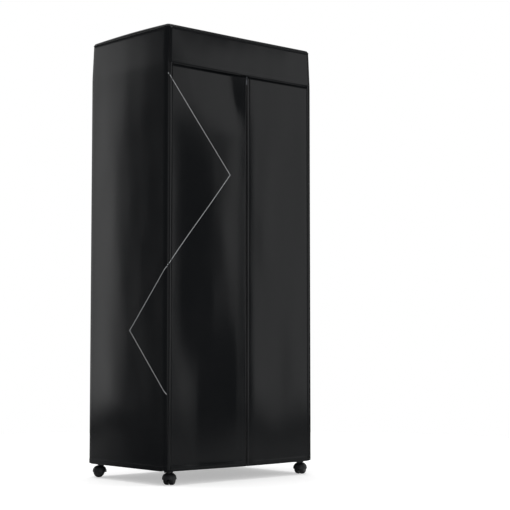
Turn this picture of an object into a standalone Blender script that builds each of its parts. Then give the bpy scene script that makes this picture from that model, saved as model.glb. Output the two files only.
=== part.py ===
"""Portable clothes dryer: a tube frame on twin-wheel casters under a hanging cloth cover, with a fan heater
clipped on the two lowest rails. Metres, +Z up, front towards -Y, origin on the floor under the middle."""

import math

import bmesh
import bpy
from mathutils import Matrix, Vector

# Driving sizes of the cover, over the outside of the cloth.
COVER_WIDTH = 0.717
COVER_DEPTH = 0.480
COVER_TOP = 1.649
COVER_BOTTOM = 0.0545
CLOTH_THICKNESS = 0.002
COVER_CORNER_RADIUS = 0.015
COVER_ROOF_RADIUS = 0.010
COVER_TOP_DRAW_IN = 0.005
COVER_CROWN = 0.004
COVER_STRIP_WIDTH = 0.023
COVER_FOLD_DEPTH = 0.0045
HEM_SAG = 0.002
PELMET_HEIGHT = 0.141
PELMET_THICKNESS = 0.0016
PELMET_STANDOFF = 0.0044
PELMET_END_INSET = 0.010
PELMET_SEAM_GAP = 0.0008
PELMET_SAG = 0.003
DOOR_TOP_GAP = 0.0045
DOOR_AXIS_PROUD = 0.0005
ZIP_OFFSET = 0.0195
ZIP_GAP = 0.005

# Driving sizes of the tube frame.
POST_INSET = 0.0385
POST_DIAMETER = 0.022
RAIL_DIAMETER = 0.015
TUBE_WALL = 0.0012
SLEEVE_DIAMETER = 0.032
SLEEVE_HEIGHT = 0.056
SLEEVE_FLARE = 0.0011
SLEEVE_FLARE_HEIGHT = 0.008
SLEEVE_CAP_RADIUS = 0.005
SLEEVE_WEB = 0.004
CAP_BORE_DEPTH = 0.044
BAR_HEIGHT = 0.038
BAR_THICKNESS = 0.018
BAR_BELOW_SLEEVE_TOP = 0.001
BAR_ARCH_RISE = 0.010
BAR_FLANGE = 0.004
BAR_RIB = 0.0032
BAR_WINDOW_PITCH = 0.030
RAIL_BELOW_SLEEVE_TOP = 0.012
SOCKET_DEPTH = 0.012
SOCKET_SURROUND = 0.0025

# Driving sizes of the casters.
WHEEL_DIAMETER = 0.040
WHEEL_PAIR_WIDTH = 0.041
WHEEL_GAP = 0.007
WHEEL_TREAD_WIDTH = 0.0055
WHEEL_SQUARENESS = 3.0
AXLE_DIAMETER = 0.006
CASTER_TRAIL = 0.011
HOOD_THICKNESS = 0.0016
HOOD_WIDTH = 0.0506
HOOD_LENGTH = 0.052
HOOD_TOP = 0.044
HOOD_SQUARENESS = 2.5
HOOD_SHIFT = 0.002
STEM_DIAMETER = 0.010
STEM_HEIGHT = 0.022
COLLAR_DIAMETER = 0.013
COLLAR_ABOVE_HOOD = 0.0009
CASTER_WEB = 0.005
CASTER_HUB_DIAMETER = 0.014
WHEEL_ROOM = 0.0006

# Driving sizes of the fan heater, with heights above the underside of its base.
HEATER_DIAMETER = 0.218
HEATER_WALL = 0.0024
BASE_RIM_HEIGHT = 0.0095
BASE_PLATE = 0.003
BASE_EDGE_RADIUS = 0.003
SHOULDER_HEIGHT = 0.075
HOUSING_HEIGHT = 0.1163
SHOULDER_DIAMETER = 0.150
OUTLET_DIAMETER = 0.100
LAMP_BRIDGE_WIDTH = 0.016
CAGE_HEIGHT = 0.050
CAGE_FOOT_DIAMETER = 0.116
CAGE_WAIST_DIAMETER = 0.094
CAGE_HEAD_DIAMETER = 0.099
CAGE_BAR = 0.0022
DISC_DIAMETER = 0.143
DISC_THICKNESS = 0.0022
DOME_DIAMETER = 0.080
DOME_HEIGHT = 0.0105
BOTTOM_RAIL_SPACING = 0.204
CLIP_WIDTH = 0.013
CLIP_SPACING = 0.036
CLIP_WALL = 0.0025
CLIP_DROP = 0.0065
INTAKE_SLOT_WIDTH = 0.005
INTAKE_SLOT_LENGTH = 0.034
INTAKE_SLOT_RADIUS = 0.058
PANEL_WIDTH = 0.062
PANEL_HEIGHT = 0.054
PANEL_THICKNESS = 0.0055
BUTTON_DIAMETER = 0.0095
BUTTON_PROUD = 0.0014
BUTTON_LENGTH = 0.0038
BUTTON_SPACING = 0.015
BUTTON_BELOW_ARCH_TOP = 0.024
MOTOR_DIAMETER = 0.048
MOTOR_HEIGHT = 0.026
MOTOR_FLANGE = 0.003
SHAFT_DIAMETER = 0.005
SHAFT_LENGTH = 0.018
FAN_DIAMETER = 0.138
FAN_HUB_DIAMETER = 0.036
FAN_HEIGHT = 0.018
FAN_BLADE_THICKNESS = 0.0018
FAN_BLADE_ANGLE = math.radians(34)
FAN_CLEARANCE = 0.003
FAN_LIFT = 0.002
SHROUD_WALL = 0.002
SHROUD_HEIGHT = 0.030
SHROUD_FLANGE_DIAMETER = 0.088
SHROUD_LEG = 0.008
ELEMENT_LENGTH = 0.096
ELEMENT_DEPTH = 0.062
ELEMENT_HEIGHT = 0.018
ELEMENT_WALL = 0.0035
ELEMENT_FIN = 0.0022
BOARD_LENGTH = 0.060
BOARD_HEIGHT = 0.036
BOARD_THICKNESS = 0.0016
BOARD_SETBACK = 0.013
RELAY_SIZE = 0.014
RELAY_DEPTH = 0.009
LAMP_TUBE_DIAMETER = 0.010
LAMP_LEG_SPACING = 0.020
LAMP_HEIGHT = 0.036
LAMP_BASE_LENGTH = 0.036
LAMP_BASE_HEIGHT = 0.006
GLAND_DIAMETER = 0.018
GLAND_LENGTH = 0.016
GLAND_BORE = 0.0076
GLAND_HEIGHT = 0.024

# Driving sizes of the zip slider.
SLIDER_WIDTH = 0.0085
SLIDER_HEIGHT = 0.012
SLIDER_PLATE = 0.0011
SLIDER_BRIDGE = 0.0022
PULL_LENGTH = 0.027
PULL_WIDTH = 0.0055
PULL_THICKNESS = 0.0012
PULL_EAR = 0.0012

# Clearances, overruns and counts.
SEAT_GAP = 0.0003
OVERRUN = 0.002
MERGE_DISTANCE = 0.00001
WHEEL_STEPS = 18
POST_STEPS = 12
RAIL_STEPS = 10
SLEEVE_STEPS = 14
HEATER_STEPS = 28
CAGE_COLUMNS = 16
CAGE_ROWS = 3
FAN_BLADES = 7
INTAKE_SLOTS = 12

# Where the two middle levels lie between the bottom one and the top one.
UPPER_LEVEL_SHARE = 0.6674
LOWER_LEVEL_SHARE = 0.3439

# Where the rails lie from the front posts to the back posts, as shares of the post spacing.
TOP_RAIL_SHARES = (0.085, 0.71, 0.915)
UPPER_RAIL_SHARES = (0.15, 0.385, 0.615, 0.85)
LOWER_RAIL_SHARES = (0.29, 0.71)

# Main folds of the hanging cloth: place across, half width, low end and high end as shares of the panel,
# and depth as a share of the fold depth, negative towards the inside.
DOOR_FOLD_SHARES = (
    (0.38, 0.28, 0.03, 0.58, -1.0),
    (0.72, 0.26, 0.76, 1.00, -0.9),
    (0.82, 0.18, 0.10, 0.50, 0.4),
)
SIDE_FOLD_SHARES = ((0.44, 0.30, 0.03, 0.96, -1.0),)
BACK_FOLD_SHARES = (
    (0.30, 0.20, 0.05, 0.90, -0.9),
    (0.70, 0.20, 0.05, 0.90, -0.9),
)
SHELL_ROW_SHARES = (0.06, 0.20, 0.34, 0.48, 0.62, 0.76, 0.90)
SHELL_COLUMN_SHARES = (0.2, 0.4, 0.6, 0.8)
SIDE_COLUMN_SHARES = (0.22, 0.44, 0.66, 0.88)
DOOR_COLUMNS = 8
DOOR_ROWS = 12
PELMET_COLUMNS = 12
PELMET_ROWS = 3

# Swivel of each caster at rest, turned about the vertical from a wheel that trails to the back.
CASTER_SWIVEL = {
    "front_left": math.radians(-56),
    "front_right": math.radians(-66),
    "back_left": math.radians(48),
    "back_right": math.radians(20),
}

# Places worked out from the sizes.
HALF_WIDTH = COVER_WIDTH / 2
HALF_DEPTH = COVER_DEPTH / 2
FRONT_PLANE = -HALF_DEPTH + PELMET_STANDOFF + PELMET_THICKNESS
HINGE_X = HALF_WIDTH - COVER_STRIP_WIDTH
POST_SPACING_DEPTH = COVER_DEPTH - 2 * POST_INSET
POST_X = HALF_WIDTH - POST_INSET
POST_Y = POST_SPACING_DEPTH / 2
SLEEVE_TOP = COVER_TOP - CLOTH_THICKNESS - SEAT_GAP
TOP_LEVEL = SLEEVE_TOP - SLEEVE_HEIGHT / 2
BOTTOM_LEVEL = HOOD_TOP + COLLAR_ABOVE_HOOD + SEAT_GAP + SLEEVE_HEIGHT / 2
UPPER_LEVEL = BOTTOM_LEVEL + (TOP_LEVEL - BOTTOM_LEVEL) * UPPER_LEVEL_SHARE
LOWER_LEVEL = BOTTOM_LEVEL + (TOP_LEVEL - BOTTOM_LEVEL) * LOWER_LEVEL_SHARE
RAIL_OFFSET = SLEEVE_HEIGHT / 2 - RAIL_BELOW_SLEEVE_TOP
RAIL_HALF_LENGTH = POST_X - BAR_THICKNESS / 2 + SOCKET_DEPTH - SEAT_GAP
PELMET_LOW = COVER_TOP - PELMET_HEIGHT
DOOR_TOP = PELMET_LOW - DOOR_TOP_GAP
HEATER_FLOOR = BOTTOM_LEVEL + RAIL_OFFSET + RAIL_DIAMETER / 2 + SEAT_GAP
HEATER_RADIUS = HEATER_DIAMETER / 2

PART = "portable_clothes_dryer"
HELPERS = "cutters"


def clear_scene():
    for old in list(bpy.data.objects):
        bpy.data.objects.remove(old, do_unlink=True)


def new_collection(name):
    made = bpy.data.collections.new(name)
    bpy.context.scene.collection.children.link(made)
    return made


def new_material(name, color, roughness, metallic=0.0):
    made = bpy.data.materials.new(name)
    made.use_nodes = True
    shader = made.node_tree.nodes["Principled BSDF"]
    shader.inputs["Base Color"].default_value = (*color, 1.0)
    shader.inputs["Roughness"].default_value = roughness
    shader.inputs["Metallic"].default_value = metallic
    return made


def new_object(name, mesh, material=None, helper=False):
    """Puts a mesh in the scene, as a sub-part or as a helper that is only cut or joined with."""
    made = bpy.data.objects.new(name, mesh)
    bpy.data.collections[HELPERS if helper else PART].objects.link(made)
    if helper:
        made.hide_render = True
        made.display_type = "WIRE"
    if material:
        mesh.materials.append(material)
    return made


def mesh_from(bm, name, smooth_angle=math.radians(35)):
    bmesh.ops.recalc_face_normals(bm, faces=bm.faces)
    mesh = bpy.data.meshes.new(name)
    bm.to_mesh(mesh)
    bm.free()
    mesh.shade_smooth()
    mesh.set_sharp_from_angle(angle=smooth_angle)
    return mesh


def add_modifier(obj, kind, **settings):
    modifier = obj.modifiers.new(kind.title(), kind)
    for key, value in settings.items():
        setattr(modifier, key, value)
    return modifier


def evaluated_mesh(obj, name, weld=True):
    """The mesh that an object's modifiers or curve give; a curve's loose caps are welded on."""
    bpy.context.view_layer.update()
    graph = bpy.context.evaluated_depsgraph_get()
    mesh = bpy.data.meshes.new_from_object(obj.evaluated_get(graph))
    bm = bmesh.new()
    bm.from_mesh(mesh)
    bm.transform(obj.matrix_world)
    if weld:
        bmesh.ops.remove_doubles(bm, verts=bm.verts, dist=MERGE_DISTANCE)
    bpy.data.meshes.remove(mesh)
    return mesh_from(bm, name)


def turned(name, profile, steps, material=None, closed=False, helper=False):
    """A shape turned about its own Z: points (radius, height), down the outer side."""
    mesh = bpy.data.meshes.new(name)
    count = len(profile)
    edges = [(i, i + 1) for i in range(count - 1)]
    if closed:
        edges.append((count - 1, 0))
    mesh.from_pydata([(radius, 0, height) for radius, height in profile], edges, [])
    made = new_object(name, mesh, material, helper)
    add_modifier(
        made,
        "SCREW",
        steps=steps,
        render_steps=steps,
        use_merge_vertices=True,
        merge_threshold=MERGE_DISTANCE,
        use_smooth_shade=True,
    )
    return made


def settled(made):
    """Turns an object's modifiers into plain mesh."""
    mesh = evaluated_mesh(made, made.name, weld=False)
    material = made.data.materials[0] if len(made.data.materials) else None
    made.modifiers.clear()
    made.data = mesh
    made.matrix_world = Matrix.Identity(4)
    if material:
        mesh.materials.clear()
        mesh.materials.append(material)
    return made


def prism_into(bm, loop, thickness, matrix):
    """A flat outline thickened about its own plane."""
    sides = []
    for height in (-thickness / 2, thickness / 2):
        sides.append([bm.verts.new(matrix @ Vector((u, v, height))) for u, v in loop])
    for side in sides:
        bm.faces.new(side)
    for i, (low, high) in enumerate(zip(*sides)):
        bm.faces.new((low, high, sides[1][i - 1], sides[0][i - 1]))


def plate(name, loops, thickness, matrix, material=None, helper=False):
    """A thickened flat outline, the first loop, with a window for each of the other loops."""
    bm = bmesh.new()
    prism_into(bm, loops[0], thickness, matrix)
    made = new_object(name, mesh_from(bm, name), material, helper)
    if len(loops) > 1:
        windows = bmesh.new()
        for loop in loops[1:]:
            prism_into(windows, loop, thickness + 2 * OVERRUN, matrix)
        boolean(made, helper_from(windows, f"{name}_windows"), "DIFFERENCE")
    return made


def boolean(obj, other, operation):
    add_modifier(obj, "BOOLEAN", operation=operation, object=other, solver="EXACT")


def move_origin(obj, point):
    """Sets the object's origin without moving its shape."""
    obj.data.transform(Matrix.Translation(-Vector(point)))
    obj.location = point


def box_into(bm, low, high):
    size = Vector(high) - Vector(low)
    centre = (Vector(high) + Vector(low)) / 2
    matrix = Matrix.Translation(centre) @ Matrix.Diagonal((*size, 1))
    bmesh.ops.create_cube(bm, size=1, matrix=matrix)


def cylinder_into(bm, base, tip, radius, steps):
    """A capped cylinder whose sides line up with those of a turned shape on the same axis."""
    axis = Vector(tip) - Vector(base)
    turn = axis.to_track_quat("Z", "Y").to_matrix().to_4x4() @ Matrix.Rotation(math.pi / 2, 4, "Z")
    matrix = Matrix.Translation((Vector(base) + Vector(tip)) / 2) @ turn
    bmesh.ops.create_cone(
        bm,
        cap_ends=True,
        segments=steps,
        radius1=radius,
        radius2=radius,
        depth=axis.length,
        matrix=matrix,
    )


def helper_from(bm, name):
    return new_object(name, mesh_from(bm, name), helper=True)


def arc(centre, radius_u, radius_v, start, end, steps):
    """Points along an arc of an ellipse, ends included."""
    points = []
    for i in range(steps + 1):
        angle = start + (end - start) * i / steps
        points.append((centre[0] + radius_u * math.cos(angle), centre[1] + radius_v * math.sin(angle)))
    return points


UPRIGHT_ALONG_Y = Matrix(((0, 0, 1, 0), (1, 0, 0, 0), (0, 1, 0, 0), (0, 0, 0, 1)))
UPRIGHT_ALONG_X = Matrix(((1, 0, 0, 0), (0, 0, -1, 0), (0, 1, 0, 0), (0, 0, 0, 1)))


def tube(name, base, tip, diameter, steps, material):
    """A straight open-ended tube between two points."""
    axis = Vector(tip) - Vector(base)
    outer = diameter / 2
    inner = outer - TUBE_WALL
    profile = ((outer, axis.length), (outer, 0), (inner, 0), (inner, axis.length))
    made = turned(name, profile, steps, material, closed=True)
    made.rotation_euler = axis.to_track_quat("Z", "Y").to_euler()
    made.location = base
    return made


def rail_places():
    """Height, name and depth of every rail."""
    bottom = (-BOTTOM_RAIL_SPACING / 2, BOTTOM_RAIL_SPACING / 2)

    def along(shares):
        return [-POST_Y + POST_SPACING_DEPTH * share for share in shares]

    return (
        (TOP_LEVEL, ("top_rail_front", "top_rail_middle", "top_rail_back"), along(TOP_RAIL_SHARES)),
        (
            UPPER_LEVEL,
            ("upper_rail_front", "upper_rail_middle_front", "upper_rail_middle_back", "upper_rail_back"),
            along(UPPER_RAIL_SHARES),
        ),
        (LOWER_LEVEL, ("lower_rail_front", "lower_rail_back"), along(LOWER_RAIL_SHARES)),
        (BOTTOM_LEVEL, ("bottom_rail_front", "bottom_rail_back"), bottom),
    )


def make_rails(material):
    for level, names, depths in rail_places():
        for name, y in zip(names, depths):
            z = level + RAIL_OFFSET
            tube(name, (-RAIL_HALF_LENGTH, y, z), (RAIL_HALF_LENGTH, y, z), RAIL_DIAMETER, RAIL_STEPS, material)


def make_posts(material):
    """Three tubes at each corner, ending inside the sleeves."""
    half_web = SLEEVE_WEB / 2 + SEAT_GAP
    cap_floor = TOP_LEVEL - SLEEVE_HEIGHT / 2 + CAP_BORE_DEPTH - SEAT_GAP
    spans = (
        ("upper", UPPER_LEVEL + half_web, cap_floor),
        ("middle", LOWER_LEVEL + half_web, UPPER_LEVEL - half_web),
        ("lower", BOTTOM_LEVEL + half_web, LOWER_LEVEL - half_web),
    )
    for corner, (x, y) in corners().items():
        for span, low, high in spans:
            tube(f"post_{corner}_{span}", (x, y, low), (x, y, high), POST_DIAMETER, POST_STEPS, material)


def corners():
    return {
        "front_left": (-POST_X, -POST_Y),
        "front_right": (POST_X, -POST_Y),
        "back_left": (-POST_X, POST_Y),
        "back_right": (POST_X, POST_Y),
    }


def arch(y, rise):
    """How far the bar's centre line rises at this depth."""
    return rise * max(0.0, 1 - (y / (POST_Y - SLEEVE_DIAMETER / 2)) ** 2)


def truss_windows(rail_depths, low, high, rise):
    """Triangular windows between the sockets, pointing up and down in turn."""
    keep = RAIL_DIAMETER / 2 + SOCKET_SURROUND
    reach = POST_Y - SLEEVE_DIAMETER / 2
    stops = [-reach]
    for y in rail_depths:
        stops += [y - keep, y + keep]
    stops.append(reach)
    windows = []
    for start, end in zip(stops[0::2], stops[1::2]):
        free = end - start - 2 * BAR_RIB
        count = int(free / BAR_WINDOW_PITCH)
        if free < BAR_WINDOW_PITCH / 2:
            continue
        count = max(count, 1)
        step = free / count
        for i in range(count):
            left = start + BAR_RIB + i * step + BAR_RIB / 2
            right = left + step - BAR_RIB
            point = left if i % 2 else right
            lift = arch((left + right) / 2, rise)
            bottom = low + BAR_FLANGE + lift
            top = high - BAR_FLANGE + lift
            corner = [(left, bottom), (right, bottom), (point, top)]
            if i % 2:
                corner = [(right, top), (left, top), (right + left - point, bottom)]
            windows.append(corner)
    return windows


def sleeve_profile(cap):
    """A moulded sleeve about its own middle, flared at its foot and, for a cap, rounded on top."""
    radius = SLEEVE_DIAMETER / 2
    half = SLEEVE_HEIGHT / 2
    foot = [(radius, -half + SLEEVE_FLARE_HEIGHT), (radius + SLEEVE_FLARE, -half), (0, -half)]
    if cap:
        round_ = arc((radius - SLEEVE_CAP_RADIUS, half - SLEEVE_CAP_RADIUS), SLEEVE_CAP_RADIUS,
                     SLEEVE_CAP_RADIUS, math.pi / 2, 0, 3)
        return [(0, half)] + round_ + foot
    return [(0, half), (radius, half)] + foot


def make_side_bar(name, side, level, rail_depths, rise, kind, material):
    """One moulded side bar: two sleeves joined by a ribbed web, with a socket for each rail."""
    x = side * POST_X
    high = SLEEVE_HEIGHT / 2 - BAR_BELOW_SLEEVE_TOP
    low = high - BAR_HEIGHT
    steps = 8 if rise else 1
    span = [-POST_Y + POST_SPACING_DEPTH * i / steps for i in range(steps + 1)]
    top_edge = [(y, high + arch(y, rise)) for y in span]
    bottom_edge = [(y, low + arch(y, rise)) for y in reversed(span)]
    loops = [bottom_edge + top_edge] + truss_windows(rail_depths, low, high, rise)
    place = Matrix.Translation((x, 0, level)) @ UPRIGHT_ALONG_Y
    bar = plate(name, loops, BAR_THICKNESS, place, material)
    for end, y in (("front", -POST_Y), ("back", POST_Y)):
        sleeve = turned(f"{name}_{end}_sleeve", sleeve_profile(kind == "cap"), SLEEVE_STEPS, helper=True)
        sleeve.location = (x, y, level)
        boolean(bar, sleeve, "UNION")
    bores = bmesh.new()
    post_bore = POST_DIAMETER / 2 + SEAT_GAP
    half = SLEEVE_HEIGHT / 2
    for y in (-POST_Y, POST_Y):
        below = level - half - OVERRUN
        above = level + half + OVERRUN
        if kind == "cap":
            cylinder_into(bores, (x, y, below), (x, y, level - half + CAP_BORE_DEPTH), post_bore, POST_STEPS)
            continue
        cylinder_into(bores, (x, y, level + SLEEVE_WEB / 2), (x, y, above), post_bore, POST_STEPS)
        lower = STEM_DIAMETER / 2 + 2 * SEAT_GAP if kind == "foot" else post_bore
        cylinder_into(bores, (x, y, below), (x, y, level - SLEEVE_WEB / 2), lower, POST_STEPS)
    inner_face = side * (POST_X - BAR_THICKNESS / 2)
    floor = inner_face + side * SOCKET_DEPTH
    for y in rail_depths:
        z = level + RAIL_OFFSET
        mouth = (inner_face - side * OVERRUN, y, z)
        cylinder_into(bores, (floor, y, z), mouth, RAIL_DIAMETER / 2 + SEAT_GAP, RAIL_STEPS)
    boolean(bar, helper_from(bores, f"{name}_bores"), "DIFFERENCE")
    return bar


def make_side_bars(material):
    kinds = (("top", "cap", 0), ("upper", "through", 0), ("lower", "through", 0), ("bottom", "foot", BAR_ARCH_RISE))
    for (level, _, depths), (word, kind, rise) in zip(rail_places(), kinds):
        for side, hand in ((-1, "left"), (1, "right")):
            make_side_bar(f"side_bar_{hand}_{word}", side, level, depths, rise, kind, material)


def squared(share, squareness):
    """A coordinate on a unit sphere or circle, pushed out towards the corners of a rounded box."""
    return math.copysign(abs(share) ** (2 / squareness), share)


def wheel_profile():
    """Half of a wheel pair and its axle: the domed outer face, the tread and the flat inner face."""
    radius = WHEEL_DIAMETER / 2 / math.cos(math.pi / WHEEL_STEPS)
    inner = WHEEL_GAP / 2
    profile = []
    for degrees in (0, 24, 44, 62):
        angle = math.radians(degrees)
        out = WHEEL_PAIR_WIDTH / 2 * squared(math.cos(angle), WHEEL_SQUARENESS)
        profile.append((radius * squared(math.sin(angle), WHEEL_SQUARENESS), out))
    return profile + [(radius, inner + WHEEL_TREAD_WIDTH), (radius, inner), (AXLE_DIAMETER / 2, inner)]


def make_wheels(name, place, material):
    half = wheel_profile()
    profile = half + [(radius, -height) for radius, height in reversed(half)]
    wheels = turned(name, profile, WHEEL_STEPS, material)
    roll = Matrix.Rotation(math.pi / WHEEL_STEPS, 4, "X")
    across = Matrix.Rotation(math.pi / 2, 4, "Y")
    wheels.matrix_world = place @ roll @ across
    return wheels


def make_caster_housing(name, place, material):
    """Domed hood over both wheels, a web between them, and the stem that turns in the foot sleeve."""
    axle = WHEEL_DIAMETER / 2
    middle = Vector((0, CASTER_TRAIL - HOOD_SHIFT, axle))
    reach = Vector((HOOD_WIDTH / 2, HOOD_LENGTH / 2, HOOD_TOP - axle))
    dome = bmesh.new()
    bmesh.ops.create_uvsphere(dome, u_segments=16, v_segments=8, radius=1)
    lower = [vert for vert in dome.verts if vert.co.z < -MERGE_DISTANCE]
    bmesh.ops.delete(dome, geom=lower, context="VERTS")
    for vert in dome.verts:
        for i in range(3):
            vert.co[i] = middle[i] + reach[i] * squared(vert.co[i], HOOD_SQUARENESS)
    housing = new_object(name, mesh_from(dome, name), material)
    add_modifier(housing, "SOLIDIFY", thickness=HOOD_THICKNESS, offset=-1, use_even_offset=True)
    outline = []
    for u, v in arc((0, 0), 1, 1, 0, math.pi, 8):
        y = middle.y + (reach.y - HOOD_THICKNESS / 2) * squared(u, HOOD_SQUARENESS)
        outline.append((y, axle + (reach.z - HOOD_THICKNESS / 2) * squared(v, HOOD_SQUARENESS)))
    hub = CASTER_HUB_DIAMETER / 2
    outline += arc((CASTER_TRAIL, axle), hub, hub, math.pi, 2 * math.pi, 6)
    web = plate(f"{name}_web", [outline], CASTER_WEB, UPRIGHT_ALONG_Y, helper=True)
    boolean(housing, web, "UNION")
    stem = STEM_DIAMETER / 2
    collar = COLLAR_DIAMETER / 2
    collar_top = BOTTOM_LEVEL - SLEEVE_HEIGHT / 2 - SEAT_GAP
    root = WHEEL_DIAMETER + WHEEL_ROOM
    profile = [
        (0, collar_top + STEM_HEIGHT),
        (stem, collar_top + STEM_HEIGHT),
        (stem, collar_top),
        (collar, collar_top),
        (collar, root),
        (0, root),
    ]
    boolean(housing, turned(f"{name}_stem", profile, RAIL_STEPS, helper=True), "UNION")
    bores = bmesh.new()
    axle_bore = AXLE_DIAMETER / 2 + SEAT_GAP
    near, far = (-CASTER_WEB, CASTER_TRAIL, axle), (CASTER_WEB, CASTER_TRAIL, axle)
    cylinder_into(bores, near, far, axle_bore, RAIL_STEPS)
    boolean(housing, helper_from(bores, f"{name}_bore"), "DIFFERENCE")
    settled(housing)
    housing.matrix_world = place
    return housing


def make_casters(housing_material, wheel_material):
    """Each housing turns about its own stem, and its wheels about their own axle."""
    for corner, (x, y) in corners().items():
        stand = Matrix.Translation((x, y, 0)) @ Matrix.Rotation(CASTER_SWIVEL[corner], 4, "Z")
        make_caster_housing(f"caster_housing_{corner}", stand, housing_material)
        axle = Matrix.Translation((0, CASTER_TRAIL, WHEEL_DIAMETER / 2))
        make_wheels(f"caster_wheels_{corner}", stand @ axle, wheel_material)


def bump(value, centre, half_width):
    """A smooth hump, 1 at the centre and 0 past the half width."""
    reach = min(1.0, abs(value - centre) / half_width)
    return math.cos(reach * math.pi / 2) ** 2


def fold_depth(across, up, folds):
    """Main folds at a place on a panel, both places as shares, fading to nothing at its edges."""
    total = 0.0
    for centre, half_width, low, high, depth in folds:
        middle = (low + high) / 2
        reach = (high - low) / 2
        total += depth * bump(across, centre, half_width) * bump(up, middle, reach) ** 0.5
    return total * COVER_FOLD_DEPTH * math.sin(math.pi * min(1.0, max(0.0, across))) ** 0.5


def cut_planes(bm, axis, places):
    """Cuts edge loops through the whole mesh at these places along one axis."""
    normal = Vector((axis == "X", axis == "Y", axis == "Z"))
    for place in places:
        geometry = bm.verts[:] + bm.edges[:] + bm.faces[:]
        bmesh.ops.bisect_plane(bm, geom=geometry, dist=MERGE_DISTANCE, plane_co=normal * place, plane_no=normal)


def draw_in(z):
    """How far the cover narrows towards its roof at this height."""
    share = (z - PELMET_LOW) / (COVER_TOP - PELMET_LOW)
    return COVER_TOP_DRAW_IN * min(1.0, max(0.0, share))


def drape(co):
    """A point of the plain box-shaped cover, moved to where the cloth hangs."""
    up = (co.z - COVER_BOTTOM) / (COVER_TOP - COVER_BOTTOM)
    across_x = (co.x + HALF_WIDTH) / COVER_WIDTH
    across_y = (co.y - FRONT_PLANE) / (HALF_DEPTH - FRONT_PLANE)
    shift = Vector((0.0, 0.0, 0.0))
    near = COVER_CORNER_RADIUS / 4
    if HALF_WIDTH - abs(co.x) < near:
        shift.x += math.copysign(1, co.x) * fold_depth(across_y, up, SIDE_FOLD_SHARES)
    if HALF_DEPTH - co.y < near:
        shift.y += fold_depth(across_x, up, BACK_FOLD_SHARES)
    narrowing = draw_in(co.z)
    shift.x -= narrowing * co.x / HALF_WIDTH
    shift.y -= narrowing * (co.y - (HALF_DEPTH + FRONT_PLANE) / 2) / ((HALF_DEPTH - FRONT_PLANE) / 2)
    if co.z > COVER_TOP - COVER_ROOF_RADIUS / 2:
        shift.z += COVER_CROWN * math.sin(math.pi * across_y) * min(1.0, abs(co.x) / HALF_WIDTH * 2)
    if up < SHELL_ROW_SHARES[0] / 2:
        shift.z -= HEM_SAG * math.sin(math.pi * across_y) * math.sin(math.pi * across_x)
    return co + shift


def make_cover_shell(material):
    """Roof, back, sides and front strips in one sheet: a rounded box, cut open for the doors and below."""
    bm = bmesh.new()
    box_into(bm, (-HALF_WIDTH, FRONT_PLANE, COVER_BOTTOM), (HALF_WIDTH, HALF_DEPTH, COVER_TOP))
    upright = [edge for edge in bm.edges if abs(edge.verts[0].co.z - edge.verts[1].co.z) > MERGE_DISTANCE]
    bmesh.ops.bevel(
        bm, geom=upright, offset=COVER_CORNER_RADIUS, segments=3, profile=0.5, affect="EDGES"
    )
    rim = [edge for edge in bm.edges if min(v.co.z for v in edge.verts) > COVER_TOP - MERGE_DISTANCE]
    bmesh.ops.bevel(bm, geom=rim, offset=COVER_ROOF_RADIUS, segments=2, profile=0.5, affect="EDGES")
    height = DOOR_TOP - COVER_BOTTOM
    cut_planes(bm, "Z", [DOOR_TOP] + [COVER_BOTTOM + height * share for share in SHELL_ROW_SHARES])
    wide = 2 * HINGE_X
    cut_planes(bm, "X", [-HINGE_X, HINGE_X] + [-HINGE_X + wide * share for share in SHELL_COLUMN_SHARES])
    deep = HALF_DEPTH - FRONT_PLANE
    cut_planes(bm, "Y", [FRONT_PLANE + deep * share for share in SIDE_COLUMN_SHARES])
    gone = []
    for face in bm.faces:
        middle = face.calc_center_median()
        in_doorway = abs(middle.x) < HINGE_X and middle.y < FRONT_PLANE + MERGE_DISTANCE and middle.z < DOOR_TOP
        if in_doorway or middle.z < COVER_BOTTOM + MERGE_DISTANCE:
            gone.append(face)
    bmesh.ops.delete(bm, geom=gone, context="FACES")
    for vert in bm.verts:
        vert.co = drape(vert.co)
    shell = new_object("cover_shell", mesh_from(bm, "cover_shell"), material)
    add_modifier(shell, "SOLIDIFY", thickness=CLOTH_THICKNESS, offset=-1, use_even_offset=True)
    return shell


def front_of_shell(x, z):
    """Depth of the shell's outer face behind a place on the front, round its corners too."""
    inset = abs(x) - (HALF_WIDTH - draw_in(z) - COVER_CORNER_RADIUS)
    face = FRONT_PLANE + draw_in(z)
    if inset <= 0:
        return face
    turn = min(1.0, inset / COVER_CORNER_RADIUS)
    return face + COVER_CORNER_RADIUS * (1 - math.sqrt(1 - turn * turn))


def grid_sheet(name, columns, rows, place, thickness, material):
    """A thin sheet whose grid points are placed by a function of two shares."""
    bm = bmesh.new()
    bmesh.ops.create_grid(bm, x_segments=columns, y_segments=rows, size=0.5)
    for vert in bm.verts:
        vert.co = place(vert.co.x + 0.5, vert.co.y + 0.5)
    made = new_object(name, mesh_from(bm, name), material)
    add_modifier(made, "SOLIDIFY", thickness=thickness, offset=0, use_even_offset=True)
    return made


def make_pelmet(material):
    """The band over the doors: sewn on along its top and ends, hanging clear along its lower edge."""
    reach = HALF_WIDTH - PELMET_END_INSET
    top = COVER_TOP - COVER_ROOF_RADIUS

    def place(across, up):
        hang = math.sin(math.pi * across)
        low = PELMET_LOW - PELMET_SAG * hang
        z = low + (top - low) * up
        x = -math.cos(math.pi * across) * (reach - draw_in(z))
        loose = min(1.0, 2 * hang) * math.cos(up * math.pi / 2)
        gap = PELMET_SEAM_GAP + PELMET_THICKNESS / 2 + (PELMET_STANDOFF - PELMET_SEAM_GAP) * loose
        return Vector((x, front_of_shell(x, z) - gap, z))

    return grid_sheet("cover_pelmet", PELMET_COLUMNS, PELMET_ROWS, place, PELMET_THICKNESS, material)


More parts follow.
